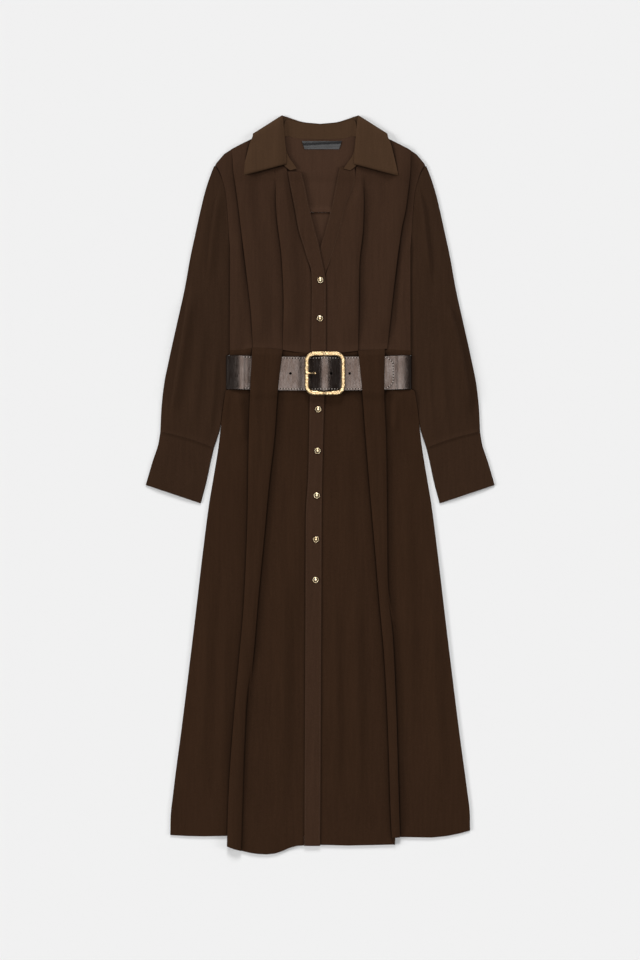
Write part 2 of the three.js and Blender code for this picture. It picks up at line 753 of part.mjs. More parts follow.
function collarRow({ rollX, rollY, outX, outY, back, over }) {
  const ground = CLOTH / 2;
  const front = frontHeight(rollX, Math.min(rollY, 649.1));
  const point = (t, z, drop = 0) =>
    new THREE.Vector3(mix(rollX, outX, t), mix(rollY, outY, t) + drop, z);
  const top = front + STAND_LAYER + LAYER;
  const outTop = frontHeight(outX, Math.min(outY, 623.9)) + LAYER + 0.3 + over;
  const level = (t) => mix(mix(top + 0.4, outTop, smooth(0.3, 1, t)), ground, smooth(0, 1, back));
  const length = Math.hypot(outX - rollX, outY - rollY);
  return [
    point(0.03 * (1 - back), level(0) + 0, 0),
    point(0.12, level(0.12) + 0.5 * (1 - back)),
    point(0.34, level(0.34) + 0.5 * (1 - back)),
    point(0.62, level(0.62)),
    point(0.84, level(0.84)),
    point(1 - 0.3 / length, level(1)),
  ];
}
const leftCollar = COLLAR.map(collarRow);
const rightCollar = leftCollar.slice(0, -1).reverse()
  .map((row) => row.map((p) => new THREE.Vector3(-p.x, p.y, p.z)));
add("collar_fall", wall([...leftCollar, ...rightCollar], CLOTH), "collar");

// The stand: a band from one front end round the back, its upper edge under the roll.
const STAND = [
  { upperX: -41.8, upperY: 568.8, seamX: -54.4, seamY: 565.6, front: 1 },
  { upperX: -49.7, upperY: 580, seamX: -64.1, seamY: 573.5, front: 1 },
  { upperX: -58, upperY: 592.6, seamX: -74.9, seamY: 587.9, front: 1 },
  { upperX: -63.4, upperY: 614.9, seamX: -77.8, seamY: 611.3, front: 1 },
  { upperX: -64.4, upperY: 629.3, seamX: -68, seamY: 619.2, front: 0.96 },
  { upperX: -64.4, upperY: 643.7, seamX: -63.7, seamY: 626.8, front: 0.5 },
  { upperX: -58, upperY: 655.6, seamX: -56.9, seamY: 629.3, front: 0 },
  { upperX: -38.2, upperY: 648.4, seamX: -38.2, seamY: 624.6, front: 0 },
  { upperX: 0, upperY: 644.8, seamX: 0, seamY: 622.8, front: 0 },
];
function standRow({ upperX, upperY, seamX, seamY, front }) {
  const high = frontHeight(upperX, Math.min(seamY, 649.1)) + LAYER;
  const low = backHeight(seamX, seamY);
  return [0, 0.5, 1].map((t) => {
    const z = mix(low + (1 - t) * 0.3, high, front);
    return new THREE.Vector3(mix(upperX, seamX, t), mix(upperY, seamY, t), z);
  });
}
const leftStand = STAND.map(standRow);
const rightStand = leftStand.slice(0, -1).reverse()
  .map((row) => row.map((p) => new THREE.Vector3(-p.x, p.y, p.z)));
add("collar_stand", wall([...leftStand, ...rightStand], CLOTH), "collar");

// The neck label, folded flat on the yoke.
const LABEL = [
  { y: 618.7, half: 36 },
  { y: 604.1, half: 31 },
];
const LABEL_WALL = 0.8;
const labelRows = LABEL.map(({ y, half }) => [-1, 0, 1].map((share) => {
  const z = backHeight(0, y) + CLOTH / 2 + GAP + LABEL_WALL / 2;
  return new THREE.Vector3(CENTRE + share * half + 3, y, z);
}));
add("neck_label", wall(labelRows, LABEL_WALL), "satin");

// The belt: one strap from its tip at the right, over the buckle's bar, round the back and to the bar again.
function panelTop(x) {
  const bands = BAND_LAYER * smooth(40, 22, Math.abs(x - -4));
  return frontHeight(x, BELT_Y) + CLOTH / 2 + bands;
}
const PLATE_Z = panelTop(BUCKLE_X) + 2 * STRAP + GAP + BUCKLE_PLATE / 2 + 0.1; // mid-height of the buckle's frame
const PIN_Z = panelTop(PIN_X) + STRAP + GAP + PIN;
const STRAP_TIP = 134.3;
const FREE_SIDE = 164.3;
const HUMP = 27; // half the length over which the strap climbs the bar

function levelOne(x) {
  return panelTop(x) + GAP + LEATHER / 2;
}

function tipHeight(x) {
  const flat = levelOne(x) + STRAP * smooth(-8, 8, x - PIN_X);
  const from = Math.min(Math.abs(x - PIN_X) / HUMP, 1);
  const crest = PIN_Z + PIN + GAP + LEATHER + GAP + LEATHER / 2 + 0.15 - levelOne(PIN_X) - STRAP / 2;
  return flat + crest * Math.cos((from * Math.PI) / 2) ** 2;
}

function beltPath() {
  const path = [];
  const put = (x, z, half = BELT_WIDTH / 2, tip = 0) => path.push({ x, z, half, tip });
  for (const [back, half] of [[0, 9], [3, 18], [9, 26], [18, 30]])
    put(STRAP_TIP - back, tipHeight(STRAP_TIP - back), half);
  for (const x of [100, 84, 66, 48, 37, 32, 27, 22, 17, 12]) put(x, tipHeight(x));
  for (const x of [7.4, 3, -2, -7, -12, -17, -22, -34, -50, -75, -100, -125, -142, -155])
    put(x, tipHeight(x));
  const turnTo = (side, from) => {
    const edge = Math.abs(side) - LEATHER / 2;
    const high = levelOne(from * Math.sign(side));
    const low = LEATHER / 2;
    const mid = (high + low) / 2;
    const steps = [75, 50, 25, 0, -25, -50, -80];
    return steps.map((degrees) => {
      const a = (degrees * Math.PI) / 180;
      const reach = degrees > 0 ? 9 : 5.5;
      const centre = edge - reach;
      return { x: Math.sign(side) * (centre + reach * Math.cos(a)), z: mid + (high - mid) * Math.sin(a) };
    });
  };
  for (const p of turnTo(BELT_END, 158)) put(p.x, p.z);
  for (const x of [-158, -100, 0, 100, 152]) put(x, LEATHER / 2);
  for (const p of turnTo(FREE_SIDE, 154).reverse()) put(p.x, p.z);
  for (const x of [151, 142, 125, 100, 75, 50, 36, 26]) put(x, levelOne(x));
  const around = PIN + GAP + LEATHER / 2 + 0.05;
  put(PIN_X + 9, mix(levelOne(PIN_X + 9), PIN_Z + around, 0.45));
  put(PIN_X + 4, PIN_Z + around * 0.9);
  for (const degrees of [90, 135, 180, 225]) {
    const a = (degrees * Math.PI) / 180;
    put(PIN_X + around * Math.cos(a), PIN_Z + around * Math.sin(a));
  }
  put(PIN_X + 1, PIN_Z - around);
  put(PIN_X + 6, PIN_Z - around);
  return path;
}

function beltRows(extra) {
  return beltPath().map(({ x, z, half }) => {
    const lower = BELT_SAG * (1 - Math.min(Math.abs(x) / 150, 1) ** 2);
    return [-1, -0.5, 0, 0.5, 1].map((share) =>
      new THREE.Vector3(x, BELT_Y - lower + share * (half + extra), z));
  });
}

const HOLE = 2.4; // radius of a punched hole
const HOLES = [-53.5, 52.9];
const PRONG_HOLE = -8.6;

function rod(x, y, z, radius, height) {
  const pin = new THREE.CylinderGeometry(radius, radius, height, 10);
  pin.translate(x, y, z);
  return solid(pin);
}

const beltY = (x) => BELT_Y - BELT_SAG * (1 - Math.min(Math.abs(x) / 150, 1) ** 2);
const PRONG_Y = beltY(BUCKLE_X) + 0.2;
const eyeZ = PIN_Z;
const prongPath = new THREE.CatmullRomCurve3([
  new THREE.Vector3(PIN_X - 2.6, PRONG_Y, eyeZ + 2.2),
  new THREE.Vector3(PIN_X - 8, PRONG_Y, eyeZ + 3.4),
  new THREE.Vector3(PRONG_HOLE, PRONG_Y, tipHeight(PRONG_HOLE)),
  new THREE.Vector3(PRONG_HOLE - 8, PRONG_Y, PLATE_Z + BUCKLE_PLATE / 2 + GAP + PRONG - 0.6),
  new THREE.Vector3(BUCKLE_X - 33, PRONG_Y, PLATE_Z + BUCKLE_PLATE / 2 + GAP + PRONG),
]);

function prongRod(radius) {
  const outline = new THREE.Shape().absarc(0, 0, radius, 0, Math.PI * 2);
  return new THREE.ExtrudeGeometry(outline, {
    steps: 14,
    bevelEnabled: false,
    extrudePath: prongPath,
    curveSegments: 5,
  });
}

function prongEye(inner, outer, width) {
  const profile = new THREE.Shape().absarc(0, 0, outer, 0, Math.PI * 2);
  profile.holes.push(new THREE.Path().absarc(0, 0, inner, 0, Math.PI * 2));
  const eye = new THREE.ExtrudeGeometry(profile, { depth: width, bevelEnabled: false, curveSegments: 8 });
  eye.translate(0, 0, -width / 2);
  eye.rotateX(Math.PI / 2);
  eye.translate(PIN_X, PRONG_Y, PIN_Z);
  return eye;
}
const EYE_INNER = PIN + GAP;
const EYE_OUTER = PIN + GAP + 2;
const EYE_WIDTH = 4;
const bore = rod(PIN_X, PRONG_Y, PIN_Z, EYE_INNER, 30);
const prong = solid(prongEye(EYE_INNER, EYE_OUTER, EYE_WIDTH)).add(solid(prongRod(PRONG))).subtract(bore);
add("belt_prong", geometryOf(prong), "brass");

let belt = solid(wall(beltRows(0), LEATHER));
for (const x of HOLES) {
  const hole = new THREE.CylinderGeometry(HOLE, HOLE, LEATHER + 1.4, 12);
  hole.rotateX(Math.PI / 2);
  hole.translate(x, beltY(x), tipHeight(x));
  belt = belt.subtract(solid(hole));
}
const eyeRoom = new THREE.BoxGeometry(EYE_OUTER * 2 + 3, EYE_WIDTH + 2 * GAP, EYE_OUTER * 2 + 2 * GAP);
eyeRoom.translate(PIN_X - 0.6, PRONG_Y, PIN_Z);
belt = belt.subtract(solid(eyeRoom)).subtract(solid(prongRod(PRONG + GAP)));
add("belt_strap", geometryOf(belt), "leather");

// The pleat columns let the belt through: the strap's room is taken out of the skirt's walls.
// It is taken in two halves, because the strap lies over itself at the right.
const roomRows = beltRows(GAP);
const halfWay = roomRows.findIndex((row) => row[0].z < LEATHER && row[0].x >= 0);
const roomWall = LEATHER + 2 * GAP - 0.02;
const rooms = [roomRows.slice(0, halfWay + 1), roomRows.slice(halfWay)].map((rows) => solid(wall(rows, roomWall)));
const threaded = (skirtWall) => rooms.reduce((left, room) => left.subtract(room), solid(skirtWall));
add("front_skirt_left", geometryOf(threaded(skirtLeft)), "crepe");
add("front_skirt_right", geometryOf(threaded(skirtRight)), "crepe");

// The buckle: a frame with rounded corners, its centre bar and the nubs that carry the bar.
function roundedBox(width, height, corner, path) {
  const [w, h, r] = [width / 2, height / 2, corner];
  path.moveTo(-w + r, -h);
  path.lineTo(w - r, -h);
  path.absarc(w - r, -h + r, r, -Math.PI / 2, 0);
  path.lineTo(w, h - r);
  path.absarc(w - r, h - r, r, 0, Math.PI / 2);
  path.lineTo(-w + r, h);
  path.absarc(-w + r, h - r, r, Math.PI / 2, Math.PI);
  path.lineTo(-w, -h + r);
  path.absarc(-w + r, -h + r, r, Math.PI, 1.5 * Math.PI);
  return path;
}
const BEVEL = 0.8;
const frameShape = roundedBox(
  BUCKLE_WIDTH - 2 * BEVEL, BUCKLE_HEIGHT - 2 * BEVEL, BUCKLE_CORNER - BEVEL, new THREE.Shape(),
);
frameShape.holes.push(roundedBox(
  BUCKLE_WIDTH - 2 * BUCKLE_BAR + 2 * BEVEL,
  BUCKLE_HEIGHT - 2 * BUCKLE_BAR + 2 * BEVEL,
  BUCKLE_CORNER - BUCKLE_BAR + BEVEL,
  new THREE.Path(),
));
const frame = new THREE.ExtrudeGeometry(frameShape, {
  depth: BUCKLE_PLATE - 2 * BEVEL,
  bevelThickness: BEVEL,
  bevelSize: BEVEL,
  bevelSegments: 1,
  curveSegments: 5,
});
const BUCKLE_Y = PRONG_Y;
frame.translate(BUCKLE_X, BUCKLE_Y, PLATE_Z - BUCKLE_PLATE / 2 + BEVEL);
let buckle = solid(frame);
const barReach = BUCKLE_HEIGHT - BUCKLE_BAR;
buckle = buckle.add(rod(PIN_X, BUCKLE_Y, PIN_Z, PIN, barReach));
for (const end of [-1, 1]) {
  const low = PIN_Z - PIN;
  const high = PLATE_Z;
  const nub = new THREE.BoxGeometry(5, BUCKLE_BAR - 1.6, high - low);
  nub.translate(PIN_X, BUCKLE_Y + (end * (BUCKLE_HEIGHT - BUCKLE_BAR)) / 2, (high + low) / 2);
  buckle = buckle.add(solid(nub));
}
add("belt_buckle", geometryOf(buckle), "brass");

// The snaps down the band, each a domed cap.
const SNAPS = [
  { x: 0.2, y: 368.1 },
  { x: -0.5, y: 299.3 },
  { x: -3.6, y: 135.5 },
  { x: -4.7, y: 60.7 },
  { x: -6.1, y: -19.8 },
  { x: -7.6, y: -98.8 },
  { x: -8.1, y: -171.4 },
];
SNAPS.forEach(({ x, y }, i) => {
  const profile = [
    new THREE.Vector2(0, 0),
    new THREE.Vector2(BUTTON - 0.6, 0),
    new THREE.Vector2(BUTTON, 0.7),
    new THREE.Vector2(BUTTON * 0.72, BUTTON_RISE * 0.8),
    new THREE.Vector2(0, BUTTON_RISE),
  ];
  const cap = new THREE.LatheGeometry(profile, 12);
  cap.rotateX(Math.PI / 2);
  cap.translate(x, y, frontHeight(x, y) + BAND_LAYER + CLOTH / 2 + GAP + 0.12);
  add(`button_${i + 1}`, cap, "brass");
});

export default group;
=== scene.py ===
"""Looks for a belted shirt dress that lies flat, front up.

Lengths in this file are millimetres and become metres when a mesh is made. X runs to the viewer's
right, Y towards the collar and Z up out of the floor. Left and right are the viewer's.
"""

from __future__ import annotations

import logging
import math
from collections.abc import Callable, Sequence
from dataclasses import dataclass, field
from enum import Enum

import bpy
import numpy as np
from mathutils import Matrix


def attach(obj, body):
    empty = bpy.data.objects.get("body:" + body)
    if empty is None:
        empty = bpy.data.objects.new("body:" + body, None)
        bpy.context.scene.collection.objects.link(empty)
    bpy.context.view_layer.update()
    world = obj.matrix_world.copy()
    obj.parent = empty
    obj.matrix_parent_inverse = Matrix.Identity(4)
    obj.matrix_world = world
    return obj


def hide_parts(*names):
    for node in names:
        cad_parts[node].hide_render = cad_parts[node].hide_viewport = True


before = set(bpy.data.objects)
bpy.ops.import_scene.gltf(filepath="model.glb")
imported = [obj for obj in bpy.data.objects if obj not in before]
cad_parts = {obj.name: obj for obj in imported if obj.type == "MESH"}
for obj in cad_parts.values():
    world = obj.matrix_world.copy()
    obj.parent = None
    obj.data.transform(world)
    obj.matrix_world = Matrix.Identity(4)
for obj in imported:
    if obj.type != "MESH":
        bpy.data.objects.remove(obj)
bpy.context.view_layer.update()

LOG = logging.getLogger("shirt_dress")
MM = 0.001

# Walls, gaps between layers, and the belt's place
CLOTH = 1.2
GAP = 0.3
LAYER = 1.5
BAND_LAYER = 1.62
LEATHER = 2.2
STRAP = LEATHER + GAP
BELT_WIDTH = 60.0
BELT_Y = 202
BELT_SAG = 2.6
PIN_X = 7.2
PIN = 1.5
BUCKLE_X = 8.6
BUCKLE_PLATE = 3.0

# Where the cloth's rows start, end and bend
SHOULDER_X = 189.5
SHOULDER_Y = 574.2
SHOULDER_SLOPE = -0.634
SHOULDER_BEND = 544.0
NECK_SIDE = 74.0
YOKE_TOP = 574.0
WAIST_BEND = 278.3
SKIRT_TOP = 242.8
HEM_BEND = -468.7
HEM_ROW = -630.7

# Pleats: their radius, free and in a seam, their hidden layer and the soft rise beside their edge
SETTLE = 26.0
FOLD = 1.6
SEAM_FOLD = 0.42
UNDERLAY = 15.0
TURN_POINTS = 7
CREASED = 0.85
PUFF = 1.6
PUFF_RISE = 7.0
PUFF_END = (34.0, 9.0)
OPENED = 7.0
EDGE_FADE = 12.0

# How many widths off a soft crease starts to fade, and where it ends
CREASE_FADE = 1.6
CREASE_END = 3.2

Array = np.ndarray
Height = Callable[[Array, Array], Array]


def smooth(start: float | Array, end: float | Array, value: float | Array) -> Array:
    """Rises softly from 0 at start to 1 at end.

    Args:
        start: Where the rise begins.
        end: Where it is over. It may lie below start.
        value: Where to read it.

    Returns:
        The share of the rise, from 0 to 1.
    """
    t = np.clip((value - start) / (end - start), 0.0, 1.0)
    return t * t * (3.0 - 2.0 * t)


def mix(a: float | Array, b: float | Array, t: float | Array) -> Array:
    """Blends a into b by the share t.

    Args:
        a: The value at 0.
        b: The value at 1.
        t: The share of b.

    Returns:
        The blended value.
    """
    return a + (b - a) * t


@dataclass(frozen=True)
class Curve:
    """A smooth curve through a short table of stations, read by its key.

    The stations are pairs of key and value, in rising or falling order of the key.
    """

    stations: tuple[tuple[float, float], ...]

    def at(self, key: float | Array) -> Array:
        """Reads the curve.

        Args:
            key: One key or an array of them. Outside the table the end value holds.

        Returns:
            The value or values, without overshoot between two stations.
        """
        table = np.array(sorted(self.stations), float)
        keys, values = table[:, 0], table[:, 1]
        if len(keys) < 3:
            return np.interp(key, keys, values)
        steps = np.diff(keys)
        rises = np.diff(values) / steps
        slopes = np.zeros_like(values)
        same = rises[:-1] * rises[1:] > 0
        slopes[1:-1][same] = 2 * rises[:-1][same] * rises[1:][same] / (rises[:-1] + rises[1:])[same]
        slopes[0], slopes[-1] = rises[0], rises[-1]
        k = np.clip(key, keys[0], keys[-1])
        i = np.clip(np.searchsorted(keys, k) - 1, 0, len(keys) - 2)
        h = steps[i]
        t = (k - keys[i]) / h
        first = (1 + 2 * t) * (1 - t) ** 2 * values[i] + t * (1 - t) ** 2 * h * slopes[i]
        return first + t * t * (3 - 2 * t) * values[i + 1] + t * t * (t - 1) * h * slopes[i + 1]


def steady(value: float) -> Curve:
    """A curve that has one value everywhere."""
    return Curve(((-1000.0, value), (1000.0, value)))


def read(table: Array, x: float | Array) -> Array:
    """Reads a table of x and y pairs, in rising order of x, at an x."""
    return np.interp(x, table[:, 0], table[:, 1])


def angles(count: int) -> Array:
    """Angles spread evenly round a circle."""
    return np.linspace(0, 2 * math.pi, count + 1)[:-1]


def disc(middle: tuple[float, float, float], wide: float, long: float, count: int) -> Array:
    """Makes a level ring of points.

    Args:
        middle: Its middle.
        wide: Its radius across the dress.
        long: Its radius along the dress.
        count: How many points it has.

    Returns:
        The ring's points.
    """
    turn = angles(count)
    x, y, z = middle
    return np.stack([x + wide * np.cos(turn), y + long * np.sin(turn), np.full(count, z)], 1)


@dataclass(frozen=True)
class Crease:
    """A soft ridge, or a trough where its rise is negative, that fades at both ends.

    Where steep is given, it is the width on the left of the ridge, seen along its points.
    """

    points: tuple[tuple[float, float], ...]
    rise: float
    width: float
    fade: float = 0.25
    steep: float | None = None

    def height(self, x: Array, y: Array) -> Array:
        """Gives the crease's height over the floor plan.

        Args:
            x: Places across the dress.
            y: Places along it.

        Returns:
            The height at each place.
        """
        nearest = np.full(np.broadcast(x, y).shape, 1e9)
        share = np.zeros_like(nearest)
        width = np.full_like(nearest, self.width)
        path = np.array(self.points, float)
        runs = np.hypot(*np.diff(path, axis=0).T)
        total = runs.sum()
        gone = 0.0
        for (ax, ay), (bx, by), run in zip(path[:-1], path[1:], runs):
            t = np.clip(((x - ax) * (bx - ax) + (y - ay) * (by - ay)) / run**2, 0, 1)
            far = np.hypot(x - ax - t * (bx - ax), y - ay - t * (by - ay))
            closer = far < nearest
            nearest = np.where(closer, far, nearest)
            share = np.where(closer, (gone + t * run) / total, share)
            if self.steep is not None:
                outer = (x - ax) * (by - ay) - (y - ay) * (bx - ax) > 0
                width = np.where(closer, np.where(outer, self.steep, self.width), width)
            gone += run
        ends = smooth(0, self.fade, share) * smooth(1, 1 - self.fade, share)
        tail = smooth(width * CREASE_END, width * CREASE_FADE, nearest)
        return self.rise * np.exp(-((nearest / width) ** 2)) * ends * tail


@dataclass(frozen=True)
class Fold:
    """A pressed pleat: its visible edge, the side its top layer lies on and how it is folded.

    Every curve is read by y. The side is 1 where the top layer lies to the right of the edge.
    """

    line: Curve
    side: int
    under: Curve
    turn: Curve
    amount: Curve
    carry: Curve = steady(0.0)


SIDE = Curve((
    (574.2, 189.6), (566.3, 184.5), (554.6, 178.6), (526.7, 170.6), (494.3, 167.4), (454.7, 164.9),
    (418.7, 162.5), (245.9, 162.9), (235.1, 162.9), (227.9, 161.6), (172.8, 161.6), (169.2, 169.6),
    (163.8, 170.9), (128.9, 176.3),
    (73.1, 182.6), (8.3, 193.0), (-34.9, 200.2), (-117.7, 210.9), (-225.7, 223.5), (-333.7, 236.6),
    (-441.7, 250.1), (-549.7, 264.2), (-603.7, 269.7), (-632.5, 270.0),
))
SLEEVE_TUCK = Curve(((454.7, 0.0), (418.7, 1.0), (159.5, 1.0), (116.3, 0.0)))


def back_height(x: Array, y: Array) -> Array:
    """Mid-wall height of the back, lifted over the collar's fall, the belt and the sleeves' edges.

    Args:
        x: Places across the dress.
        y: Places along it.

    Returns:
        The height at each place.
    """
    across = np.abs(x)
    over_collar = smooth(542.9, 559.1, y) * smooth(170, 146, across)
    over_belt = smooth(52, 33, np.abs(y - BELT_Y))
    over_sleeve = SLEEVE_TUCK.at(y) * smooth(132, 150, across)
    lifts = np.maximum(np.maximum(1.6 * over_collar, STRAP * over_belt), 2 * LAYER * over_sleeve)
    return CLOTH / 2 + lifts


def hollow(y: Array) -> Array:
    """How far the front stands off the back at the middle of the dress."""
    return mix(1.2, 3.0, smooth(110, 40, np.abs(y - BELT_Y)))


def front_height(x: Array, y: Array) -> Array:
    """Mid-wall height of the front, one layer above the back at the sides and more between them.

    Args:
        x: Places across the dress.
        y: Places along it.

    Returns:
        The height at each place.
    """
    share = np.minimum(np.abs(x) / SIDE.at(y), 1.0)
    return back_height(x, y) + LAYER + hollow(y) * (1 - share**4)


class Shading(Enum):
    """How many degrees an edge has to turn to show sharply."""

    SOFT = 60.0
    CRISP = 38.0


def make_object(name: str, points: Array, faces: Array) -> bpy.types.Object:
    """Makes a mesh object in the scene.

    Args:
        name: The piece's name.
        points: Corner points, in millimetres.
        faces: Corner numbers, four to a face. A triangle repeats its last one.

    Returns:
        The new object.
    """
    mesh = bpy.data.meshes.new(name)
    rows = [tuple(dict.fromkeys(face)) for face in faces.tolist()]
    mesh.from_pydata((points * MM).tolist(), [], rows)
    mesh.update()
    mesh.shade_smooth()
    mesh.set_sharp_from_angle(angle=math.radians(Shading.SOFT.value))
    made = bpy.data.objects.new(name, mesh)
    bpy.context.scene.collection.objects.link(made)
    return made


def grid_normals(grid: Array, ring: bool) -> Array:
    """Unit normals of a grid of points whose rows run along x and follow each other down.

    Args:
        grid: Points, rows by columns by three.
        ring: Whether each row closes on itself.

    Returns:
        One upward normal to a point.
    """
    def unit(v: Array) -> Array:
        """Vectors of length 1 along the given ones."""
        return v / np.maximum(np.linalg.norm(v, axis=-1, keepdims=True), 1e-9)

    if ring:
        ahead = unit(np.roll(grid, -1, axis=1) - grid)
        along = ahead + np.roll(ahead, 1, axis=1)
    else:
        ahead = unit(np.diff(grid, axis=1))
        along = np.concatenate([ahead, ahead[:, -1:]], 1) + np.concatenate([ahead[:, :1], ahead], 1)
    lower = unit(np.diff(grid, axis=0))
    down = np.concatenate([lower, lower[-1:]], 0) + np.concatenate([lower[:1], lower], 0)
    return unit(np.cross(down, along))


def wall(
    name: str, grid: Array, thickness: float = CLOTH, ring: bool = False, keep: Array | None = None,
) -> bpy.types.Object:
    """Makes a closed wall of cloth or leather round a grid of mid-wall points.

    Args:
        name: The piece's name.
        grid: Points, rows by columns by three, in millimetres.
        thickness: Thickness of the wall.
        ring: Whether each row closes on itself.
        keep: Which cells are there. The wall closes round the ones that are left out.

    Returns:
        The wall as an object.
    """
    rows, count = grid.shape[:2]
    lift = grid_normals(grid, ring) * thickness / 2
    points = np.concatenate([(grid + lift).reshape(-1, 3), (grid - lift).reshape(-1, 3)])
    below = rows * count
    i, j = np.meshgrid(np.arange(rows - 1), np.arange(count if ring else count - 1), indexing="ij")
    if keep is not None:
        i, j = i[keep], j[keep]
    i, j = i.ravel(), j.ravel()
    k = (j + 1) % count
    top = np.stack([i * count + j, (i + 1) * count + j, (i + 1) * count + k, i * count + k], 1)
    start, end = top.ravel(), np.roll(top, -1, axis=1).ravel()
    rim = ~np.isin(start * below + end, end * below + start)
    start, end = start[rim], end[rim]
    sides = np.stack([end, start, below + start, below + end], 1)
    faces = np.concatenate([top, below + top[:, ::-1], sides])
    used, places = np.unique(faces, return_inverse=True)
    return make_object(name, points[used], places.reshape(faces.shape))


def joined(name: str, parts: Sequence[tuple[Array, Array]]) -> bpy.types.Object:
    """Makes one object of several sets of points and faces.

    Args:
        name: The piece's name.
        parts: Pairs of points and faces.

    Returns:
        The object that holds them all.
    """
    offset = 0
    points, faces = [], []
    for part_points, part_faces in parts:
        points.append(part_points)
        faces.append(part_faces + offset)
        offset += len(part_points)
    return make_object(name, np.concatenate(points), np.concatenate(faces))


def pleated_row(
    left: tuple[float, float],
    right: tuple[float, float],
    folds: Sequence[Fold],
    between: Sequence[int],
    height: Height,
    bend: Callable[[Array, Array], Array] | None = None,
) -> Array:
    """Runs one row of pleated cloth from its left edge to its right one.

    Args:
        left: The row's left end in plan.
        right: Its right end.
        folds: The pleats it crosses, from left to right.
        between: How many points lie before, between and after the pleats.
        height: Height of the cloth's mid-wall where it isn't folded.
        bend: What a curved seam or hem adds to y, from x and from how many pleats are passed.

    Returns:
        The row's points.
    """
    def row_y(x: float | Array) -> Array:
        """The row's y at an x."""
        return mix(left[1], right[1], (x - left[0]) / (right[0] - left[0]))

    shapes = []
    for fold in folds:
        edge = float(fold.line.at(left[1]))
        for _ in range(4):
            edge = float(fold.line.at(row_y(edge)))
        y = float(row_y(edge))
        read_here = (float(curve.at(y)) for curve in (fold.under, fold.turn, fold.amount, fold.carry))
        shapes.append((edge, fold, *read_here))

    def top_layer(x: Array, shape: tuple) -> Array:
        """How far a pleat's top layer still stands up along it, from its edge on."""
        edge, fold, under, turn, amount, carry = shape
        far = (x - edge) * fold.side
        sink = 1 - smooth(under, under + SETTLE, far) * (1 - carry)
        puff = PUFF * min(max((turn - SEAM_FOLD) / (FOLD - SEAM_FOLD), 0), 1)
        return (4 * turn * sink + puff * smooth(0, PUFF_RISE, far) * smooth(*PUFF_END, far)) * amount

    quarter = np.radians(np.linspace(-90, 90, TURN_POINTS))
    xs, lifts, passed = [], [], []
    start = left[0]
    for n in range(len(shapes) + 1):
        before = shapes[n - 1] if n else None
        after = shapes[n] if n < len(shapes) else None
        end, turned = right[0], np.zeros(0)
        if after:
            edge, fold, under, turn, amount, _ = after
            wide = min(turn, CREASED)
            px = np.concatenate([under - wide + wide * np.cos(quarter), wide - wide * np.cos(quarter)])
            pz = np.concatenate([turn + turn * np.sin(quarter), 3 * turn + turn * np.sin(quarter)])
            if fold.side < 0:
                px, pz = -px[::-1], pz[::-1]
            turned = edge + mix(np.linspace(-OPENED, OPENED, len(px)), px, amount)
            end = turned[0]
        inner = np.linspace(start, end, between[n] + 2)
        inner = inner[0 if n == 0 else 1:None if after is None else -1]
        lift = np.zeros_like(inner)
        if before and before[1].side > 0:
            lift = np.maximum(lift, top_layer(inner, before))
        if after and after[1].side < 0:
            lift = np.maximum(lift, top_layer(inner, after))
        if not (before and after):
            lift = lift * smooth(left[0], left[0] + EDGE_FADE, inner)
            lift = lift * smooth(right[0], right[0] - EDGE_FADE, inner)
        xs.append(inner)
        lifts.append(lift)
        passed.append(np.full(len(inner), float(n)))
        if after:
            xs.append(turned)
            lifts.append(pz * amount)
            passed.append(n + (np.arange(len(turned)) >= TURN_POINTS).astype(float))
            start = turned[-1]
    x, z, n = np.concatenate(xs), np.concatenate(lifts), np.concatenate(passed)
    y = row_y(x)
    if bend:
        y = y + bend(x, n)
    return np.stack([x, y, height(x, y) + z], 1)


def rows_at(stations: Sequence[Sequence[float]], keys: Array) -> Array:
    """Runs smooth curves through the columns of a table and reads them.

    Args:
        stations: Rows of numbers, one row to a station.
        keys: Where to read them, counted in stations.

    Returns:
        One row to a key.
    """
    columns = np.array(stations, float).T
    return np.stack([Curve(tuple(enumerate(column))).at(keys) for column in columns], 1)


def curve_rows(stations: Sequence[Sequence[float]], steps: int) -> Array:
    """Makes a table finer by smooth curves through its columns.

    Args:
        stations: Rows of numbers, one row to a station.
        steps: How many rows to make from one station to the next.

    Returns:
        The finer table.
    """
    last = len(stations) - 1
    return rows_at(stations, np.linspace(0, last, last * steps + 1))


def spaced(stations: Sequence[float], step: float) -> Array:
    """Fills the stations of a falling list so that no gap is longer than a step."""
    rows = [float(stations[0])]
    for a, b in zip(stations[:-1], stations[1:]):
        rows += np.linspace(a, b, max(1, math.ceil((a - b) / step)) + 1)[1:].tolist()
    return np.array(rows)


@dataclass(frozen=True)
class Cut:
    """The flat cut of what shows of a piece of cloth, in metres, and what it lies on."""

    width: float
    length: float
    area: float
    rests_on: tuple[str, ...]


def hand_over(
    piece: bpy.types.Object, nodes: Sequence[str], finish: bpy.types.Material,
    cut: Cut | None = None,
) -> bpy.types.Object:
    """Dresses a piece and gives it the place of the nodes it stands for.

    Args:
        piece: The new piece.
        nodes: The nodes that it stands for.
        finish: Its material.
        cut: Its flat cut where it is a sheet of cloth.

    Returns:
        The piece.
    """
    piece.data.materials.clear()
    piece.data.materials.append(finish)
    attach(piece, "root")
    if nodes:
        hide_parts(*nodes)
    if cut:
        areas = sum(polygon.area for polygon in piece.data.polygons) / 2
        LOG.info("%s: flat %.3f m2, surface %.3f m2", piece.name, cut.area, areas)
    LOG.info("%s: %d faces", piece.name, len(piece.data.polygons))
    return piece


# Shader helpers


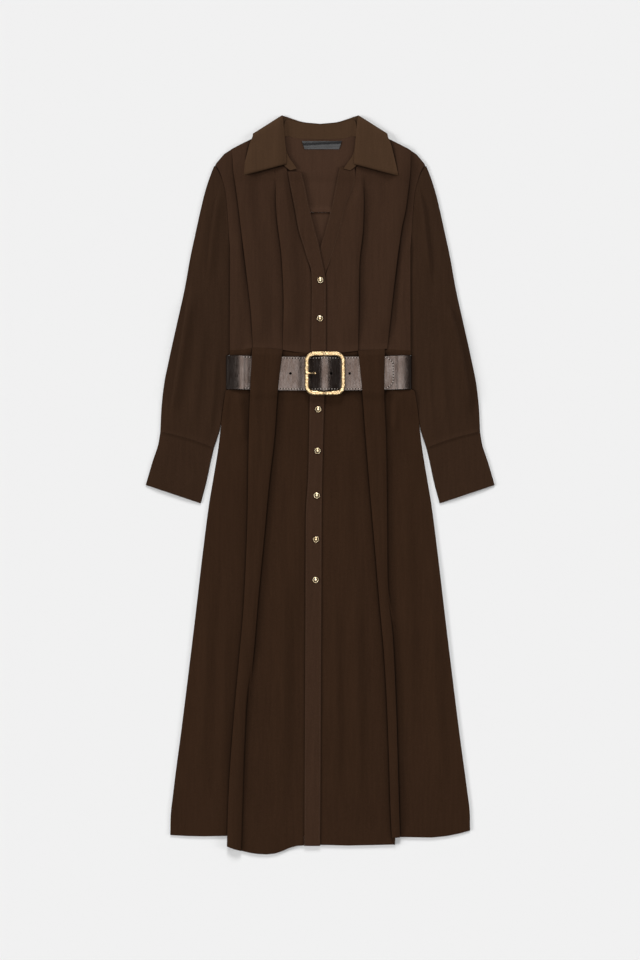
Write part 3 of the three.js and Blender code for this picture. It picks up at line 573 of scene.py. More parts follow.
class Tree:
    """A material's or a group's nodes, made and joined by short calls."""

    def __init__(self, tree: bpy.types.NodeTree) -> None:
        """Keeps the tree and empties it."""
        self.tree = tree
        tree.nodes.clear()

    def add(self, kind: str, **inputs: object) -> bpy.types.Node:
        """Adds a node and fills or joins its inputs.

        Args:
            kind: The node's type.
            inputs: Properties, and inputs by their names with _ for a space. A socket is joined.

        Returns:
            The node.
        """
        node = self.tree.nodes.new(kind)
        for name, value in inputs.items():
            if hasattr(node, name) and not isinstance(value, bpy.types.NodeSocket):
                setattr(node, name, value)
                continue
            key = int(name[1:]) if name[0] == "i" and name[1:].isdigit() else name.replace("_", " ")
            self.put(node.inputs[key], value)
        return node

    def noise(self, vector: bpy.types.NodeSocket, scale: float, detail: float = 2.0) -> bpy.types.NodeSocket:
        """Adds a noise and gives its value."""
        return self.add("ShaderNodeTexNoise", Vector=vector, Scale=scale, Detail=detail).outputs[0]

    def stretched(
        self, vector: bpy.types.NodeSocket, scale: tuple[float, float, float],
    ) -> bpy.types.NodeSocket:
        """Adds a mapping that stretches a place."""
        return self.add("ShaderNodeMapping", Vector=vector, Scale=scale).outputs[0]

    def math(self, operation: str, *values: object) -> bpy.types.NodeSocket:
        """Adds a sum on its values."""
        inputs = {f"i{n}": value for n, value in enumerate(values)}
        return self.add("ShaderNodeMath", operation=operation, **inputs).outputs[0]

    def plus(self, a: object, b: object) -> bpy.types.NodeSocket:
        """Adds two values."""
        return self.math("ADD", a, b)

    def times(self, a: object, b: object) -> bpy.types.NodeSocket:
        """Multiplies two values."""
        return self.math("MULTIPLY", a, b)

    def ramp(
        self, value: bpy.types.NodeSocket, low: float, high: float, to: tuple[float, float],
    ) -> bpy.types.NodeSocket:
        """Maps a value softly from one range to another."""
        return self.add(
            "ShaderNodeMapRange", interpolation_type="SMOOTHSTEP", Value=value, From_Min=low, From_Max=high,
            To_Min=to[0], To_Max=to[1]).outputs[0]

    def mixed(self, way: str, share: object, a: object, b: object) -> bpy.types.NodeSocket:
        """Mixes two colours in one of the ways of the mix node."""
        node = self.add("ShaderNodeMix", data_type="RGBA", blend_type=way)
        for place, value in ((0, share), (6, a), (7, b)):
            self.put(node.inputs[place], value)
        return node.outputs[2]

    def brighten(self, colour: object, value: bpy.types.NodeSocket) -> bpy.types.NodeSocket:
        """Multiplies a colour by a value."""
        grey = self.add("ShaderNodeCombineColor", Red=value, Green=value, Blue=value).outputs[0]
        return self.mixed("MULTIPLY", 1.0, colour, grey)

    def blend(self, share: bpy.types.NodeSocket, a: object, b: object) -> bpy.types.NodeSocket:
        """Blends two colours by a share."""
        return self.mixed("MIX", share, a, b)

    def put(self, socket: bpy.types.NodeSocket, value: object) -> None:
        """Fills or joins one socket."""
        if isinstance(value, bpy.types.NodeSocket):
            self.tree.links.new(value, socket)
        else:
            socket.default_value = value


GROUP_OUTPUTS = {"Colour": "NodeSocketColor", "Height": "NodeSocketFloat", "Roughness": "NodeSocketFloat"}


def make_group(name: str, inputs: dict[str, float | tuple]) -> tuple[Tree, bpy.types.NodeSocket, dict, dict]:
    """Starts a node group that gives a colour, a height and a roughness.

    Args:
        name: The group's name.
        inputs: Input names with their default values. A tuple is a colour.

    Returns:
        The group's tree, the place on the object, and its input and output sockets by name.
    """
    group = bpy.data.node_groups.new(name, "ShaderNodeTree")
    tree = Tree(group)
    for label, value in inputs.items():
        kind = "NodeSocketColor" if isinstance(value, tuple) else "NodeSocketFloat"
        socket = group.interface.new_socket(name=label, in_out="INPUT", socket_type=kind)
        socket.default_value = value
    for label, kind in GROUP_OUTPUTS.items():
        group.interface.new_socket(name=label, in_out="OUTPUT", socket_type=kind)
    start, end = tree.add("NodeGroupInput"), tree.add("NodeGroupOutput")
    given, out = ({s.name: s for s in sockets if s.name} for sockets in (start.outputs, end.inputs))
    return tree, tree.add("ShaderNodeTexCoord").outputs["Object"], given, out


def weave_group() -> bpy.types.NodeTree:
    """Makes the crepe's weave: pebbled threads, faint slubs and broad uneven shade."""
    tree, place, given, out = make_group(
        "crepe_weave", {"Colour": (0.03, 0.02, 0.01, 1.0), "Grain": 0.2, "Shade": 0.12})
    warp = tree.noise(tree.stretched(place, (2600, 420, 900)), 1.0, 1.0)
    weft = tree.noise(tree.stretched(place, (420, 2600, 900)), 1.0, 1.0)
    pebbles = tree.noise(place, 620.0, 3.0)
    slubs = tree.noise(tree.stretched(place, (240, 16, 60)), 1.0, 2.0)
    broad = tree.noise(place, 5.5, 2.0)
    height = tree.plus(tree.plus(warp, weft), pebbles)
    tree.put(out["Height"], tree.times(height, 0.333))
    grain = tree.times(tree.math("SUBTRACT", pebbles, 0.5), given["Grain"])
    slub = tree.times(tree.math("SUBTRACT", slubs, 0.5), tree.times(given["Grain"], 0.6))
    shade = tree.times(tree.math("SUBTRACT", broad, 0.5), given["Shade"])
    total = tree.plus(tree.plus(grain, slub), tree.plus(shade, 1.0))
    tree.put(out["Colour"], tree.brighten(given["Colour"], total))
    tree.put(out["Roughness"], tree.ramp(pebbles, 0.3, 0.7, (0.94, 0.78)))
    return tree.tree


def hide_group() -> bpy.types.NodeTree:
    """Makes the belt's leather: upright crackled grain, pores and rubbed edges."""
    tree, place, given, out = make_group(
        "leather_grain", {"Dark": (0.02, 0.01, 0.008, 1.0), "Light": (0.2, 0.16, 0.14, 1.0), "Wear": 0.5})
    upright = tree.stretched(place, (1.0, 0.32, 1.0))
    cells = tree.add(
        "ShaderNodeTexVoronoi", Vector=upright, Scale=620.0, feature="DISTANCE_TO_EDGE").outputs[0]
    crackle = tree.ramp(cells, 0.0, 0.14, (0.0, 1.0))
    wrinkles = tree.noise(tree.stretched(place, (520, 60, 200)), 1.0, 4.0)
    pores = tree.noise(place, 1500.0, 2.0)
    mottle = tree.noise(place, 38.0, 3.0)
    height = tree.plus(tree.times(crackle, 0.55), tree.times(wrinkles, 0.6))
    tree.put(out["Height"], tree.plus(height, tree.times(pores, 0.15)))
    edge = tree.add("ShaderNodeNewGeometry").outputs["Pointiness"]
    rubbed = tree.times(tree.ramp(edge, 0.52, 0.60, (0.0, 1.0)), given["Wear"])
    shade = tree.plus(tree.times(wrinkles, 0.5), tree.times(mottle, 0.35))
    share = tree.plus(tree.ramp(shade, 0.34, 0.56, (0.0, 0.42)), tree.times(rubbed, 0.6))
    tree.put(out["Colour"], tree.blend(share, given["Dark"], given["Light"]))
    tree.put(out["Roughness"], tree.ramp(wrinkles, 0.3, 0.7, (0.14, 0.24)))
    return tree.tree


def dents_group() -> bpy.types.NodeTree:
    """Makes the beaten surface of cast metal: small dents, fine pits and duller hollows."""
    tree, place, given, out = make_group(
        "beaten_dents", {"Bright": (0.8, 0.6, 0.35, 1.0), "Dull": (0.5, 0.36, 0.2, 1.0), "Dent": 300.0})
    dents = tree.add("ShaderNodeTexVoronoi", Vector=place, feature="SMOOTH_F1", Smoothness=0.6)
    tree.put(dents.inputs["Scale"], given["Dent"])
    pits = tree.noise(place, 1400.0, 2.0)
    tree.put(out["Height"], tree.plus(dents.outputs[0], tree.times(pits, 0.25)))
    shade = tree.plus(tree.times(dents.outputs[0], 0.6), tree.times(pits, 0.6))
    share = tree.ramp(shade, 0.35, 0.7, (0.0, 0.7))
    tree.put(out["Colour"], tree.blend(share, given["Bright"], given["Dull"]))
    tree.put(out["Roughness"], tree.ramp(pits, 0.3, 0.7, (0.27, 0.42)))
    return tree.tree


def twist_group() -> bpy.types.NodeTree:
    """Makes a thread's twist and its uneven dye."""
    tree, place, given, out = make_group(
        "thread_twist", {"Colour": (0.1, 0.08, 0.06, 1.0)})
    ply = tree.add(
        "ShaderNodeTexWave", Vector=place, bands_direction="DIAGONAL", Scale=700.0, Distortion=1.5).outputs[1]
    fuzz = tree.noise(place, 900.0, 2.0)
    tree.put(out["Height"], ply)
    tree.put(out["Colour"], tree.brighten(given["Colour"], tree.ramp(fuzz, 0.3, 0.7, (0.75, 1.25))))
    tree.put(out["Roughness"], tree.ramp(ply, 0.0, 1.0, (0.75, 0.6)))
    return tree.tree


class Effect(Enum):
    """The surface effects that the finishes share."""

    WEAVE = "crepe_weave"
    HIDE = "leather_grain"
    DENTS = "beaten_dents"
    TWIST = "thread_twist"

    def tree(self) -> bpy.types.NodeTree:
        """The effect's group, made once."""
        makers = {
            Effect.WEAVE: weave_group, Effect.HIDE: hide_group, Effect.DENTS: dents_group,
            Effect.TWIST: twist_group}
        return bpy.data.node_groups.get(self.value) or makers[self]()


# How near other surfaces have to be to paint shade into a crease, the share of open sky where that painted
# shade starts and ends, and the cloth's sheen
CREASE_SHADE_REACH = 9.0
CREASE_SHADE_SKY = (0.42, 0.95)
SHEEN_ROUGHNESS = 0.45
CREPE_SHEEN = (0.7, 0.5, 0.38, 1.0)


@dataclass(frozen=True)
class Finish:
    """A material: an effect with its values, and the shader's own settings."""

    name: str
    effect: Effect
    values: tuple[tuple[str, object], ...]
    relief: float
    metallic: float = 0.0
    specular: float = 0.5
    sheen: float = 0.0
    sheen_tint: tuple[float, float, float, float] = (1.0, 1.0, 1.0, 1.0)
    rough: float | None = None
    # crease: how much painted shade ambient occlusion puts into the colour in creases and under other parts
    crease: float = 0.0

    def material(self) -> bpy.types.Material:
        """The finish as a material, made once.

        Returns:
            The material.
        """
        made = bpy.data.materials.get(self.name)
        if made:
            return made
        made = bpy.data.materials.new(self.name)
        made.use_nodes = True
        tree = Tree(made.node_tree)
        effect = tree.add("ShaderNodeGroup", node_tree=self.effect.tree())
        for label, value in self.values:
            effect.inputs[label].default_value = value
        bump = tree.add(
            "ShaderNodeBump", Height=effect.outputs["Height"], Strength=1.0, Distance=self.relief * MM)
        colour = effect.outputs["Colour"]
        # Painted shade: the colour is darkened where ambient occlusion finds other surfaces near, in creases,
        # under edges and between parts
        if self.crease:
            near = tree.add("ShaderNodeAmbientOcclusion", samples=8, Distance=CREASE_SHADE_REACH * MM).outputs["AO"]
            colour = tree.brighten(colour, tree.ramp(near, *CREASE_SHADE_SKY, (1 - self.crease, 1.0)))
        shader = tree.add(
            "ShaderNodeBsdfPrincipled", Normal=bump.outputs[0], Base_Color=colour, Metallic=self.metallic,
            Roughness=effect.outputs["Roughness"] if self.rough is None else self.rough,
            Specular_IOR_Level=self.specular, Sheen_Weight=self.sheen, Sheen_Roughness=SHEEN_ROUGHNESS,
            Sheen_Tint=self.sheen_tint)
        tree.add("ShaderNodeOutputMaterial", Surface=shader.outputs[0])
        made.diffuse_color = next((v for _, v in self.values if isinstance(v, tuple)), (0.5, 0.5, 0.5, 1.0))
        return made


def crepe(
    name: str, colour: tuple[float, float, float], shade: float, crease: float, grain: float = 0.5,
    relief: float = 0.35, specular: float = 0.05, sheen: float = 0.01,
) -> Finish:
    """A finish of the dress's cloth.

    Args:
        name: The finish's name.
        colour: Its colour.
        shade: How uneven the colour is over wide places.
        crease: How much painted shade, from ambient occlusion, darkens the colour in creases and under other
            parts.
        grain: How uneven the colour is from thread to thread.
        relief: How high the weave stands.
        specular: How shiny it is.
        sheen: How much it shines at a low angle.

    Returns:
        The finish.
    """
    values = (("Colour", (*colour, 1.0)), ("Grain", grain), ("Shade", shade))
    return Finish(name, Effect.WEAVE, values, relief, specular=specular, sheen=sheen, crease=crease,
                  sheen_tint=CREPE_SHEEN)


def metal(
    name: str, bright: tuple[float, float, float], dull: tuple[float, float, float], dent: float,
    relief: float, rough: float | None = None,
) -> Finish:
    """A finish of cast metal.

    Args:
        name: The finish's name.
        bright: Its colour.
        dull: Its colour in the hollows.
        dent: How many dents there are to a metre.
        relief: How deep they are.
        rough: Its roughness where it is the same all over.

    Returns:
        The finish.
    """
    values = (("Bright", (*bright, 1.0)), ("Dull", (*dull, 1.0)), ("Dent", dent))
    return Finish(name, Effect.DENTS, values, relief, metallic=1.0, rough=rough)


def thread(name: str, colour: tuple[float, float, float], relief: float, specular: float) -> Finish:
    """A finish of sewing thread."""
    return Finish(name, Effect.TWIST, (("Colour", (*colour, 1.0)),), relief, specular=specular)


# Each crepe's crease is painted shade from ambient occlusion
CREPE = crepe("crepe_brown", (0.0430, 0.0217, 0.0126), shade=0.16, crease=0.88)
SLEEVE_CREPE = crepe("crepe_sleeve", (0.0346, 0.0176, 0.0098), shade=0.2, crease=0.55)
# Painted shade: the skirt's crepe is a darker copy of the same cloth, standing in for the weaker light over the
# skirt
SHADED_SKIRT_CREPE = crepe("crepe_skirt_painted_shade", (0.0326, 0.0157, 0.0081), shade=0.2, crease=0.88)
# Painted highlight: the collar's crepe is a lighter copy of the same cloth, standing in for the light the
# raised collar catches
LIT_COLLAR_CREPE = crepe(
    "crepe_collar_painted_highlight", (0.0600, 0.0322, 0.0172), shade=0.12, crease=0.6, grain=0.4, relief=0.3, specular=0.06)
LINING_CREPE = crepe(
    "crepe_inside", (0.0540, 0.0277, 0.0167), shade=0.12, crease=0.5, grain=0.4, relief=0.3, specular=0.06,
    sheen=0.0)
SATIN = Finish(
    "satin_black", Effect.WEAVE, (("Colour", (0.010, 0.0095, 0.010, 1.0)), ("Grain", 0.6), ("Shade", 0.3)),
    relief=0.04, specular=0.3, rough=0.24)
# The leather's crease is painted shade from ambient occlusion
LEATHER_FINISH = Finish(
    "leather_brown", Effect.HIDE,
    (("Dark", (0.052, 0.036, 0.029, 1.0)), ("Light", (0.150, 0.130, 0.121, 1.0)), ("Wear", 0.6)),
    relief=0.06, specular=0.4, metallic=0.82, crease=0.6)
BRASS = metal("brass_beaten", (0.86, 0.66, 0.40), (0.50, 0.32, 0.14), dent=330.0, relief=0.3)
SNAP_BRASS = metal(
    "brass_polished", (0.84, 0.70, 0.48), (0.46, 0.32, 0.16), dent=160.0, relief=0.05, rough=0.22)
DRESS_THREAD = thread("thread_dress", (0.070, 0.040, 0.023), relief=0.1, specular=0.3)
# Painted shade: near-black marks that stand in for the shade inside the belt's needle holes
HOLE_SHADE = thread("needle_hole_painted_shade", (0.006, 0.004, 0.003), relief=0.05, specular=0.1)
BELT_THREAD = thread("thread_belt", (0.62, 0.56, 0.51), relief=0.1, specular=0.3)


def line_of(*stations: tuple[float, float]) -> Curve:
    """A curve through pairs of x and y that is read by y."""
    return Curve(tuple((y, x) for x, y in stations))


def pressed(start: float, full: float) -> Curve:
    """How far a pleat is folded: 0 at the start, 1 from the full height on."""
    heights = np.linspace(start, full, 9)
    return Curve(tuple((float(y), float(smooth(start, full, y))) for y in heights))


def skirt_turn(most: float) -> Curve:
    """The radius of the column's turns: flat in the waist seam, high over the belt and plain below it."""
    seam, free = 242.8, 233.5
    under_belt, plain = 168.0, 140.0
    heights = np.concatenate([np.linspace(seam, free, 7), np.linspace(under_belt, plain, 8)])
    upper = heights > BELT_Y
    over = np.where(upper, smooth(seam, free, heights), smooth(plain, under_belt, heights))
    low = np.where(upper, SEAM_FOLD, FOLD)
    return Curve(tuple(zip(heights.tolist(), mix(low, most, over).tolist())))


def bodice_turn() -> Curve:
    """The radius of the bodice's turns, which are pressed flat in the waist seam."""
    heights = np.linspace(300, 243, 9)
    turns = mix(FOLD, SEAM_FOLD, smooth(300, 245, heights))
    return Curve(tuple(zip(heights.tolist(), turns.tolist())))


NECK = np.array([
    (-189.7, 574), (-187.6, 579), (-173.2, 595.6), (-158.8, 605), (-144.4, 612.4), (-130, 619.8),
    (-115.6, 626.4), (-95, 636.8), (-74.2, 646.2), (-65.9, 630.2), (-57.2, 626.8), (-38.2, 622.8),
    (0, 621.4),
])
WAIST = np.array([
    (-169.6, 241.6), (-137.2, 243.4), (-120, 246.9), (-101.2, 246.2), (-70.6, 242.6), (-44.8, 238.7),
    (-18.4, 236.5), (17.6, 236.2), (42.8, 237.6), (68.6, 240.8), (117.7, 244.2), (143.6, 242.3),
    (168.8, 241.2),
])


def neck_y(x: Array) -> Array:
    """The back's upper edge, from the armholes over the shoulders to the neck."""
    return read(NECK, -np.abs(x))


def waist_y(x: Array) -> Array:
    """The waist seam."""
    return read(WAIST, x)


BAND_TOP = np.array([
    (563.4, -58.7, -34.2), (550.8, -56.5, -30.6), (495.4, -45.9, -18.7), (457.4, -38.9, -9),
    (437.2, -32.9, -3.6), (407.9, -23.8, 2.5), (382.7, -16.2, 7.7), (357.5, -15.5, 10.4),
    (242.8, -16.9, 10.4), (146.9, -19.3, 7.2), (19.1, -22, 4), (-60.1, -26.3, 2.9), (-207.7, -26.8, 2.3),
    (-423.7, -27.9, 1.4), (-650.5, -28.8, 0),
])
BAND_UNDER = np.array([
    (571.7, 34.4, 61.9), (550.8, 30.2, 63.4), (502.9, 20.7, 47), (452.3, 7.2, 34.4), (404.3, -5.8, 19.1),
    (375.5, -11.9, 9), (242.8, -13.3, 8.3), (19.1, -18.4, 2), (-207.7, -23.2, 0.2), (-648.7, -25.2, -2.2),
])


def band_edges(table: Array) -> tuple[Curve, Curve]:
    """The left and the right edge of a band as curves read by y."""
    return Curve(tuple(map(tuple, table[:, [0, 1]]))), Curve(tuple(map(tuple, table[:, [0, 2]])))


CREASES: list[Crease] = [
    Crease(((-145.3, 172.1), (-143.5, 130.7), (-140.8, 69.5)), 3.4, 7),
    Crease(((-158.8, 168.5), (-162.4, 125.3), (-166, 80.3)), -1.2, 5),
    Crease(((140, 172.1), (136.4, 143.3), (132.8, 87.5)), 3.4, 7),
    Crease(((-63.4, -63.7), (-65.2, -387.7), (-70.6, -636.1)), 6.3, 13, 0.4),
    Crease(((-43.6, 98.3), (-41.8, -63.7), (-40, -279.7)), 3.3, 12, 0.4),
    Crease(((26.6, -135.7), (28.4, -423.7), (32, -636.1)), 5.7, 10, 0.4),
    Crease(((62.6, -81.7), (66.2, -423.7), (73.4, -636.1)), 6.9, 12, 0.4),
    Crease(((44.6, 134.3), (48.2, -27.7), (51.8, -207.7)), 2.7, 10, 0.4),
    Crease(((-194.8, -63.7), (-205.6, -315.7), (-218.2, -612.7)), 5.4, 15, 0.4),
    Crease(((-164.2, -99.7), (-173.2, -351.7), (-184, -612.7)), 3.3, 10, 0.4),
    Crease(((197.6, -99.7), (208.4, -351.7), (221, -612.7)), 5.7, 15, 0.4),
    Crease(((149, 98.3), (158, -135.7), (168.8, -495.7)), 3.9, 12, 0.4),
    Crease(((-104.8, 548.3), (-101.2, 440.3), (-97.6, 278.3)), 2.0, 14, 0.4),
    Crease(((104, 548.3), (100.4, 440.3), (96.8, 278.3)), 2.0, 14, 0.4),
    Crease(((-131.8, 253.1), (-126.4, 242.3), (-122.8, 235.1)), 1.4, 4, 0.3),
]


def front_with_creases(x: Array, y: Array) -> Array:
    """Mid-wall height of the front with its soft creases."""
    total = front_height(x, y)
    for crease in CREASES:
        total = total + crease.height(x, y)
    return total


@dataclass
class FrontBodice:
    """One front of the bodice, with its two tucks."""

    side: str
    outer: tuple[tuple[float, float], ...]
    inner: tuple[tuple[float, float], ...]
    folds: tuple[Fold, ...]
    cut: Cut
    between: tuple[int, int, int] = (26, 22, 26)

    def rows(self) -> Array:
        """Runs the rows from the shoulder to the waist seam.

        Returns:
            The grid of mid-wall points.
        """
        table = np.concatenate([np.array(self.outer), np.array(self.inner)], 1)
        fine = curve_rows(table, 6)
        last = fine[-1, 1]
        grid = []
        for outer_x, outer_y, inner_x, inner_y in fine:
            ends = [(outer_x, outer_y), (inner_x + (GAP if outer_x < 0 else -GAP), inner_y)]
            left, right = ends if outer_x < 0 else (ends[1], ends[0])

            def bend(x: Array, _: Array) -> Array:
                """Bends the first rows to the shoulder seam and the last ones to the waist seam."""
                y = mix(left[1], right[1], (x - left[0]) / (right[0] - left[0]))
                first = SHOULDER_Y + (np.abs(x) - SHOULDER_X) * SHOULDER_SLOPE
                shoulder = np.maximum(neck_y(x) - 0.5 - first, 0) * (np.abs(x) > NECK_SIDE)
                share = smooth(SHOULDER_BEND, SHOULDER_Y, outer_y)
                return shoulder * share + (waist_y(x) - last) * smooth(WAIST_BEND, last, y)

            grid.append(pleated_row(left, right, self.folds, self.between, front_with_creases, bend))
        return np.array(grid)

    def build(self) -> bpy.types.Object:
        """Builds the front and dresses it."""
        made = wall(f"bodice_{self.side}", self.rows())
        return hand_over(made, [f"front_bodice_{self.side}"], CREPE.material(), self.cut)


def bodices() -> list[FrontBodice]:
    """The two fronts of the bodice.

    Returns:
        The left one and the right one.
    """
    turn = bodice_turn()
    deep = steady(UNDERLAY)
    top, chest = pressed(602.3, 562.7), pressed(573.5, 503.3)
    outer = (
        (189.5, 574.2), (178.6, 554.6), (170.6, 526.7), (167.4, 494.3), (164.9, 454.7), (162.5, 418.7),
        (162.5, 386.3), (162.5, 346.7), (162.5, 307.1), (162.7, 271.1), (162.7, 256.7), (162.9, 242.8),
    )
    left_inner = (
        (-73.1, 648), (-71.3, 620.3), (-64.4, 584.3), (-55.4, 544.7), (-46.8, 499.7), (-36, 447.5),
        (-23.8, 407.9), (-16, 364.7), (-16.2, 316.1), (-16.6, 272.9), (-16.9, 256.7), (-17.3, 242.8),
    )
    right_inner = (
        (73.1, 648), (71.3, 620.3), (66.2, 584.3), (62.6, 544.7), (46.3, 499.7), (33.1, 447.5),
        (20.5, 407), (9.2, 366.5), (9, 316.1), (8.8, 272.9), (8.6, 256.7), (8.6, 242.8),
    )
    lines = {
        "left_outer": line_of((-162, 602.3), (-149.8, 523.1), (-141.8, 458.3), (-133.6, 391.7), (-123.5, 299.9),
                              (-120.6, 242.3)),
        "left_inner": line_of((-83.2, 602.3), (-78.1, 487.1), (-69.1, 409.7), (-65.3, 326.9), (-67, 242.3)),
        "right_inner": line_of((79.9, 602.3), (77, 464.2), (70.2, 395.8), (67.9, 240.8)),
        "right_outer": line_of((166, 602.3), (154.4, 500.8), (145.4, 455.2), (131.8, 350.3), (120.2, 242.3)),
    }
    left = (Fold(lines["left_outer"], 1, deep, turn, top), Fold(lines["left_inner"], 1, deep, turn, chest))
    right = (Fold(lines["right_inner"], -1, deep, turn, chest), Fold(lines["right_outer"], -1, deep, turn, top))
    cut = Cut(0.236, 0.420, 0.0730, ("back_bodice", "back_yoke"))
    return [
        FrontBodice("left", tuple((-x, y) for x, y in outer), left_inner, left, cut),
        FrontBodice("right", tuple((x - 0.1, y) for x, y in outer), right_inner, right, cut),
    ]


SKIRT_ROWS = (SKIRT_TOP, 234, 232, 229.7, 188.3, 173, 171.2, 169.2, 163.4, 130)
BACK_SKIRT_ROWS = (SKIRT_TOP, 234, 231, 173, 171.2, 169.2, 163.4, HEM_ROW)
HEM_SIDE_LEFT = np.array([(-270.4, -631.3), (-240, -633.0), (-210.2, -633.6), (-144.4, -632.2)])
HEM_FRONT_LEFT = np.array([
    (-167.8, -650.7), (-155, -655.5), (-142, -659.5), (-127, -663.2), (-112.7, -665.3), (-97, -666.2),
    (-81.5, -664.6), (-67, -659.5), (-54.2, -653.8), (-41, -650.6), (-29.2, -649.8),
])
HEM_FRONT_RIGHT = np.array([(-2.2, -648.7), (49.9, -650.2), (129.1, -648.4)])
HEM_SIDE_RIGHT = np.array([
    (107.6, -637), (143.6, -634.7), (200.2, -635.8), (227.5, -633.2), (250.9, -628.4), (271.1, -622.8),
])


@dataclass
class FrontSkirt:
    """One front of the skirt, with the pleat column that carries the belt."""

    side: str
    folds: tuple[Fold, Fold]
    between: tuple[int, int, int]
    cut: Cut

    def rows(self) -> Array:
        """Runs the rows from the waist seam to the hem.

        Returns:
            The grid of mid-wall points.
        """
        is_left = self.side == "left"
        _, under_right = band_edges(BAND_UNDER)
        top_left, _ = band_edges(BAND_TOP)
        ys = np.concatenate([spaced(SKIRT_ROWS, 3.0)[:-1], spaced([SKIRT_ROWS[-1], HEM_ROW], 7.0)])
        grid = []
        for y in ys:
            half = float(SIDE.at(y))
            left = (-half if is_left else float(under_right.at(y)) + GAP, y)
            right = (float(top_left.at(y)) - GAP if is_left else half, y)

            def bend(x: Array, passed: Array) -> Array:
                """Bends the first rows to the waist seam and the last ones to the hem."""
                front = passed >= 1 if is_left else passed < 1
                on_side = HEM_SIDE_LEFT if is_left else HEM_SIDE_RIGHT
                on_front = HEM_FRONT_LEFT if is_left else HEM_FRONT_RIGHT
                hem = np.where(front, read(on_front, x), read(on_side, x)) - HEM_ROW
                waist = waist_y(x) - SKIRT_TOP
                return waist * smooth(229.9, SKIRT_TOP, y) + hem * smooth(HEM_BEND, HEM_ROW, y)

            grid.append(pleated_row(left, right, self.folds, self.between, front_with_creases, bend))
        return np.array(grid)

    def build(self, belt: Belt) -> bpy.types.Object:
        """Builds the skirt's front with the slits that let the belt through.

        Args:
            belt: The belt that passes behind the pleat column.

        Returns:
            The dressed piece.
        """
        grid = self.rows()
        inside = belt.fills(grid)
        keep = ~(inside[:-1, :-1] | inside[1:, :-1] | inside[:-1, 1:] | inside[1:, 1:])
        made = wall(f"skirt_{self.side}", grid, keep=keep)
        return hand_over(made, [f"front_skirt_{self.side}"], SHADED_SKIRT_CREPE.material(), self.cut)


def column_under(outer: Curve, inner: Curve) -> Curve:
    """The column's two underlays, which share its width between them."""
    heights = np.linspace(SKIRT_TOP + 3, HEM_ROW - 5, 60)
    return Curve(tuple((float(y), float(min(UNDERLAY, 0.4 * abs(inner.at(y) - outer.at(y))))) for y in heights))


def skirts() -> list[FrontSkirt]:
    """The two fronts of the skirt.

    Returns:
        The left one and the right one.
    """
    outer_left = line_of(
        (-121.7, 244.1), (-125.6, 168.5), (-128.2, 83.9), (-130.1, -45.7), (-136.6, -207.7),
        (-147.6, -337.3), (-156.1, -434.5), (-165.1, -564.1), (-167.4, -632.5),
    )
    inner_left = line_of(
        (-68, 242.3), (-76.5, 170.3), (-82.8, 83.9), (-92.5, -0.7), (-100.3, -85.3), (-112, -207.7),
        (-119.7, -304.9), (-126.4, -405.7), (-135.4, -632.5),
    )
    inner_right = line_of(
        (68.6, 242.3), (76, 168.5), (82.4, 83.9), (90.2, -13.3), (98.6, -110.5), (106.6, -207.7),
        (114.3, -292.3), (119.3, -369.7), (123.3, -466.9), (128.5, -632.5),
    )
    outer_right = line_of(
        (115.9, 244.1), (114.8, 168.5), (118.1, 83.9), (119.9, -45.7), (121, -168.1), (138.2, -279.7),
        (150.8, -632.5),
    )
    left_under, right_under = column_under(outer_left, inner_left), column_under(outer_right, inner_right)
    left_turn, right_turn = (skirt_turn(most) for most in (1.6, 1.9))
    carry = pressed(60.0, 158.0)
    left = (Fold(outer_left, 1, left_under, left_turn, steady(1), carry),
            Fold(inner_left, -1, left_under, left_turn, pressed(-405.7, -279.7), carry))
    right = (Fold(inner_right, 1, right_under, right_turn, pressed(-747.7, -567.7), carry),
             Fold(outer_right, -1, right_under, right_turn, pressed(-279.7, -162.7), carry))
    return [
        FrontSkirt("left", left, (30, 16, 24), Cut(0.330, 0.910, 0.2150, ("back_skirt",))),
        FrontSkirt("right", right, (24, 16, 30), Cut(0.330, 0.910, 0.2300, ("back_skirt",))),
    ]


@dataclass
class FrontBands:
    """The two bands of the front edge. The left one laps over the right one."""

    step: float = 5.0
    columns: int = 9

    def grid(self, table: Array, lift: float) -> Array:
        """Runs a band's rows from the neck to the hem.

        Args:
            table: The band's edges.
            lift: How far it lies above the front.

        Returns:
            The grid of mid-wall points.
        """
        left, right = band_edges(table)
        ys = spaced([table[0, 0], SKIRT_TOP, 229.7, 163.4, table[-1, 0]], self.step)
        share = np.linspace(0, 1, self.columns)
        x = mix(left.at(ys)[:, None], right.at(ys)[:, None], share[None, :])
        y = np.repeat(ys[:, None], self.columns, 1)
        crown = 0.35 * np.sin(share * math.pi)[None, :] ** 0.5
        return np.stack([x, y, front_with_creases(x, y) + lift + crown], 2)

    def build(self) -> None:
        """Builds and dresses both bands."""
        pieces = (("top", BAND_TOP, BAND_LAYER, ("front_skirt_left", "front_bodice_left", "front_band_under")),
                  ("under", BAND_UNDER, 0.0, ("back_skirt", "back_bodice")))
        for name, table, lift, below in pieces:
            made = wall(f"band_{name}", self.grid(table, lift))
            hand_over(made, [f"front_band_{name}"], CREPE.material(), Cut(0.028, 1.240, 0.0335, below))


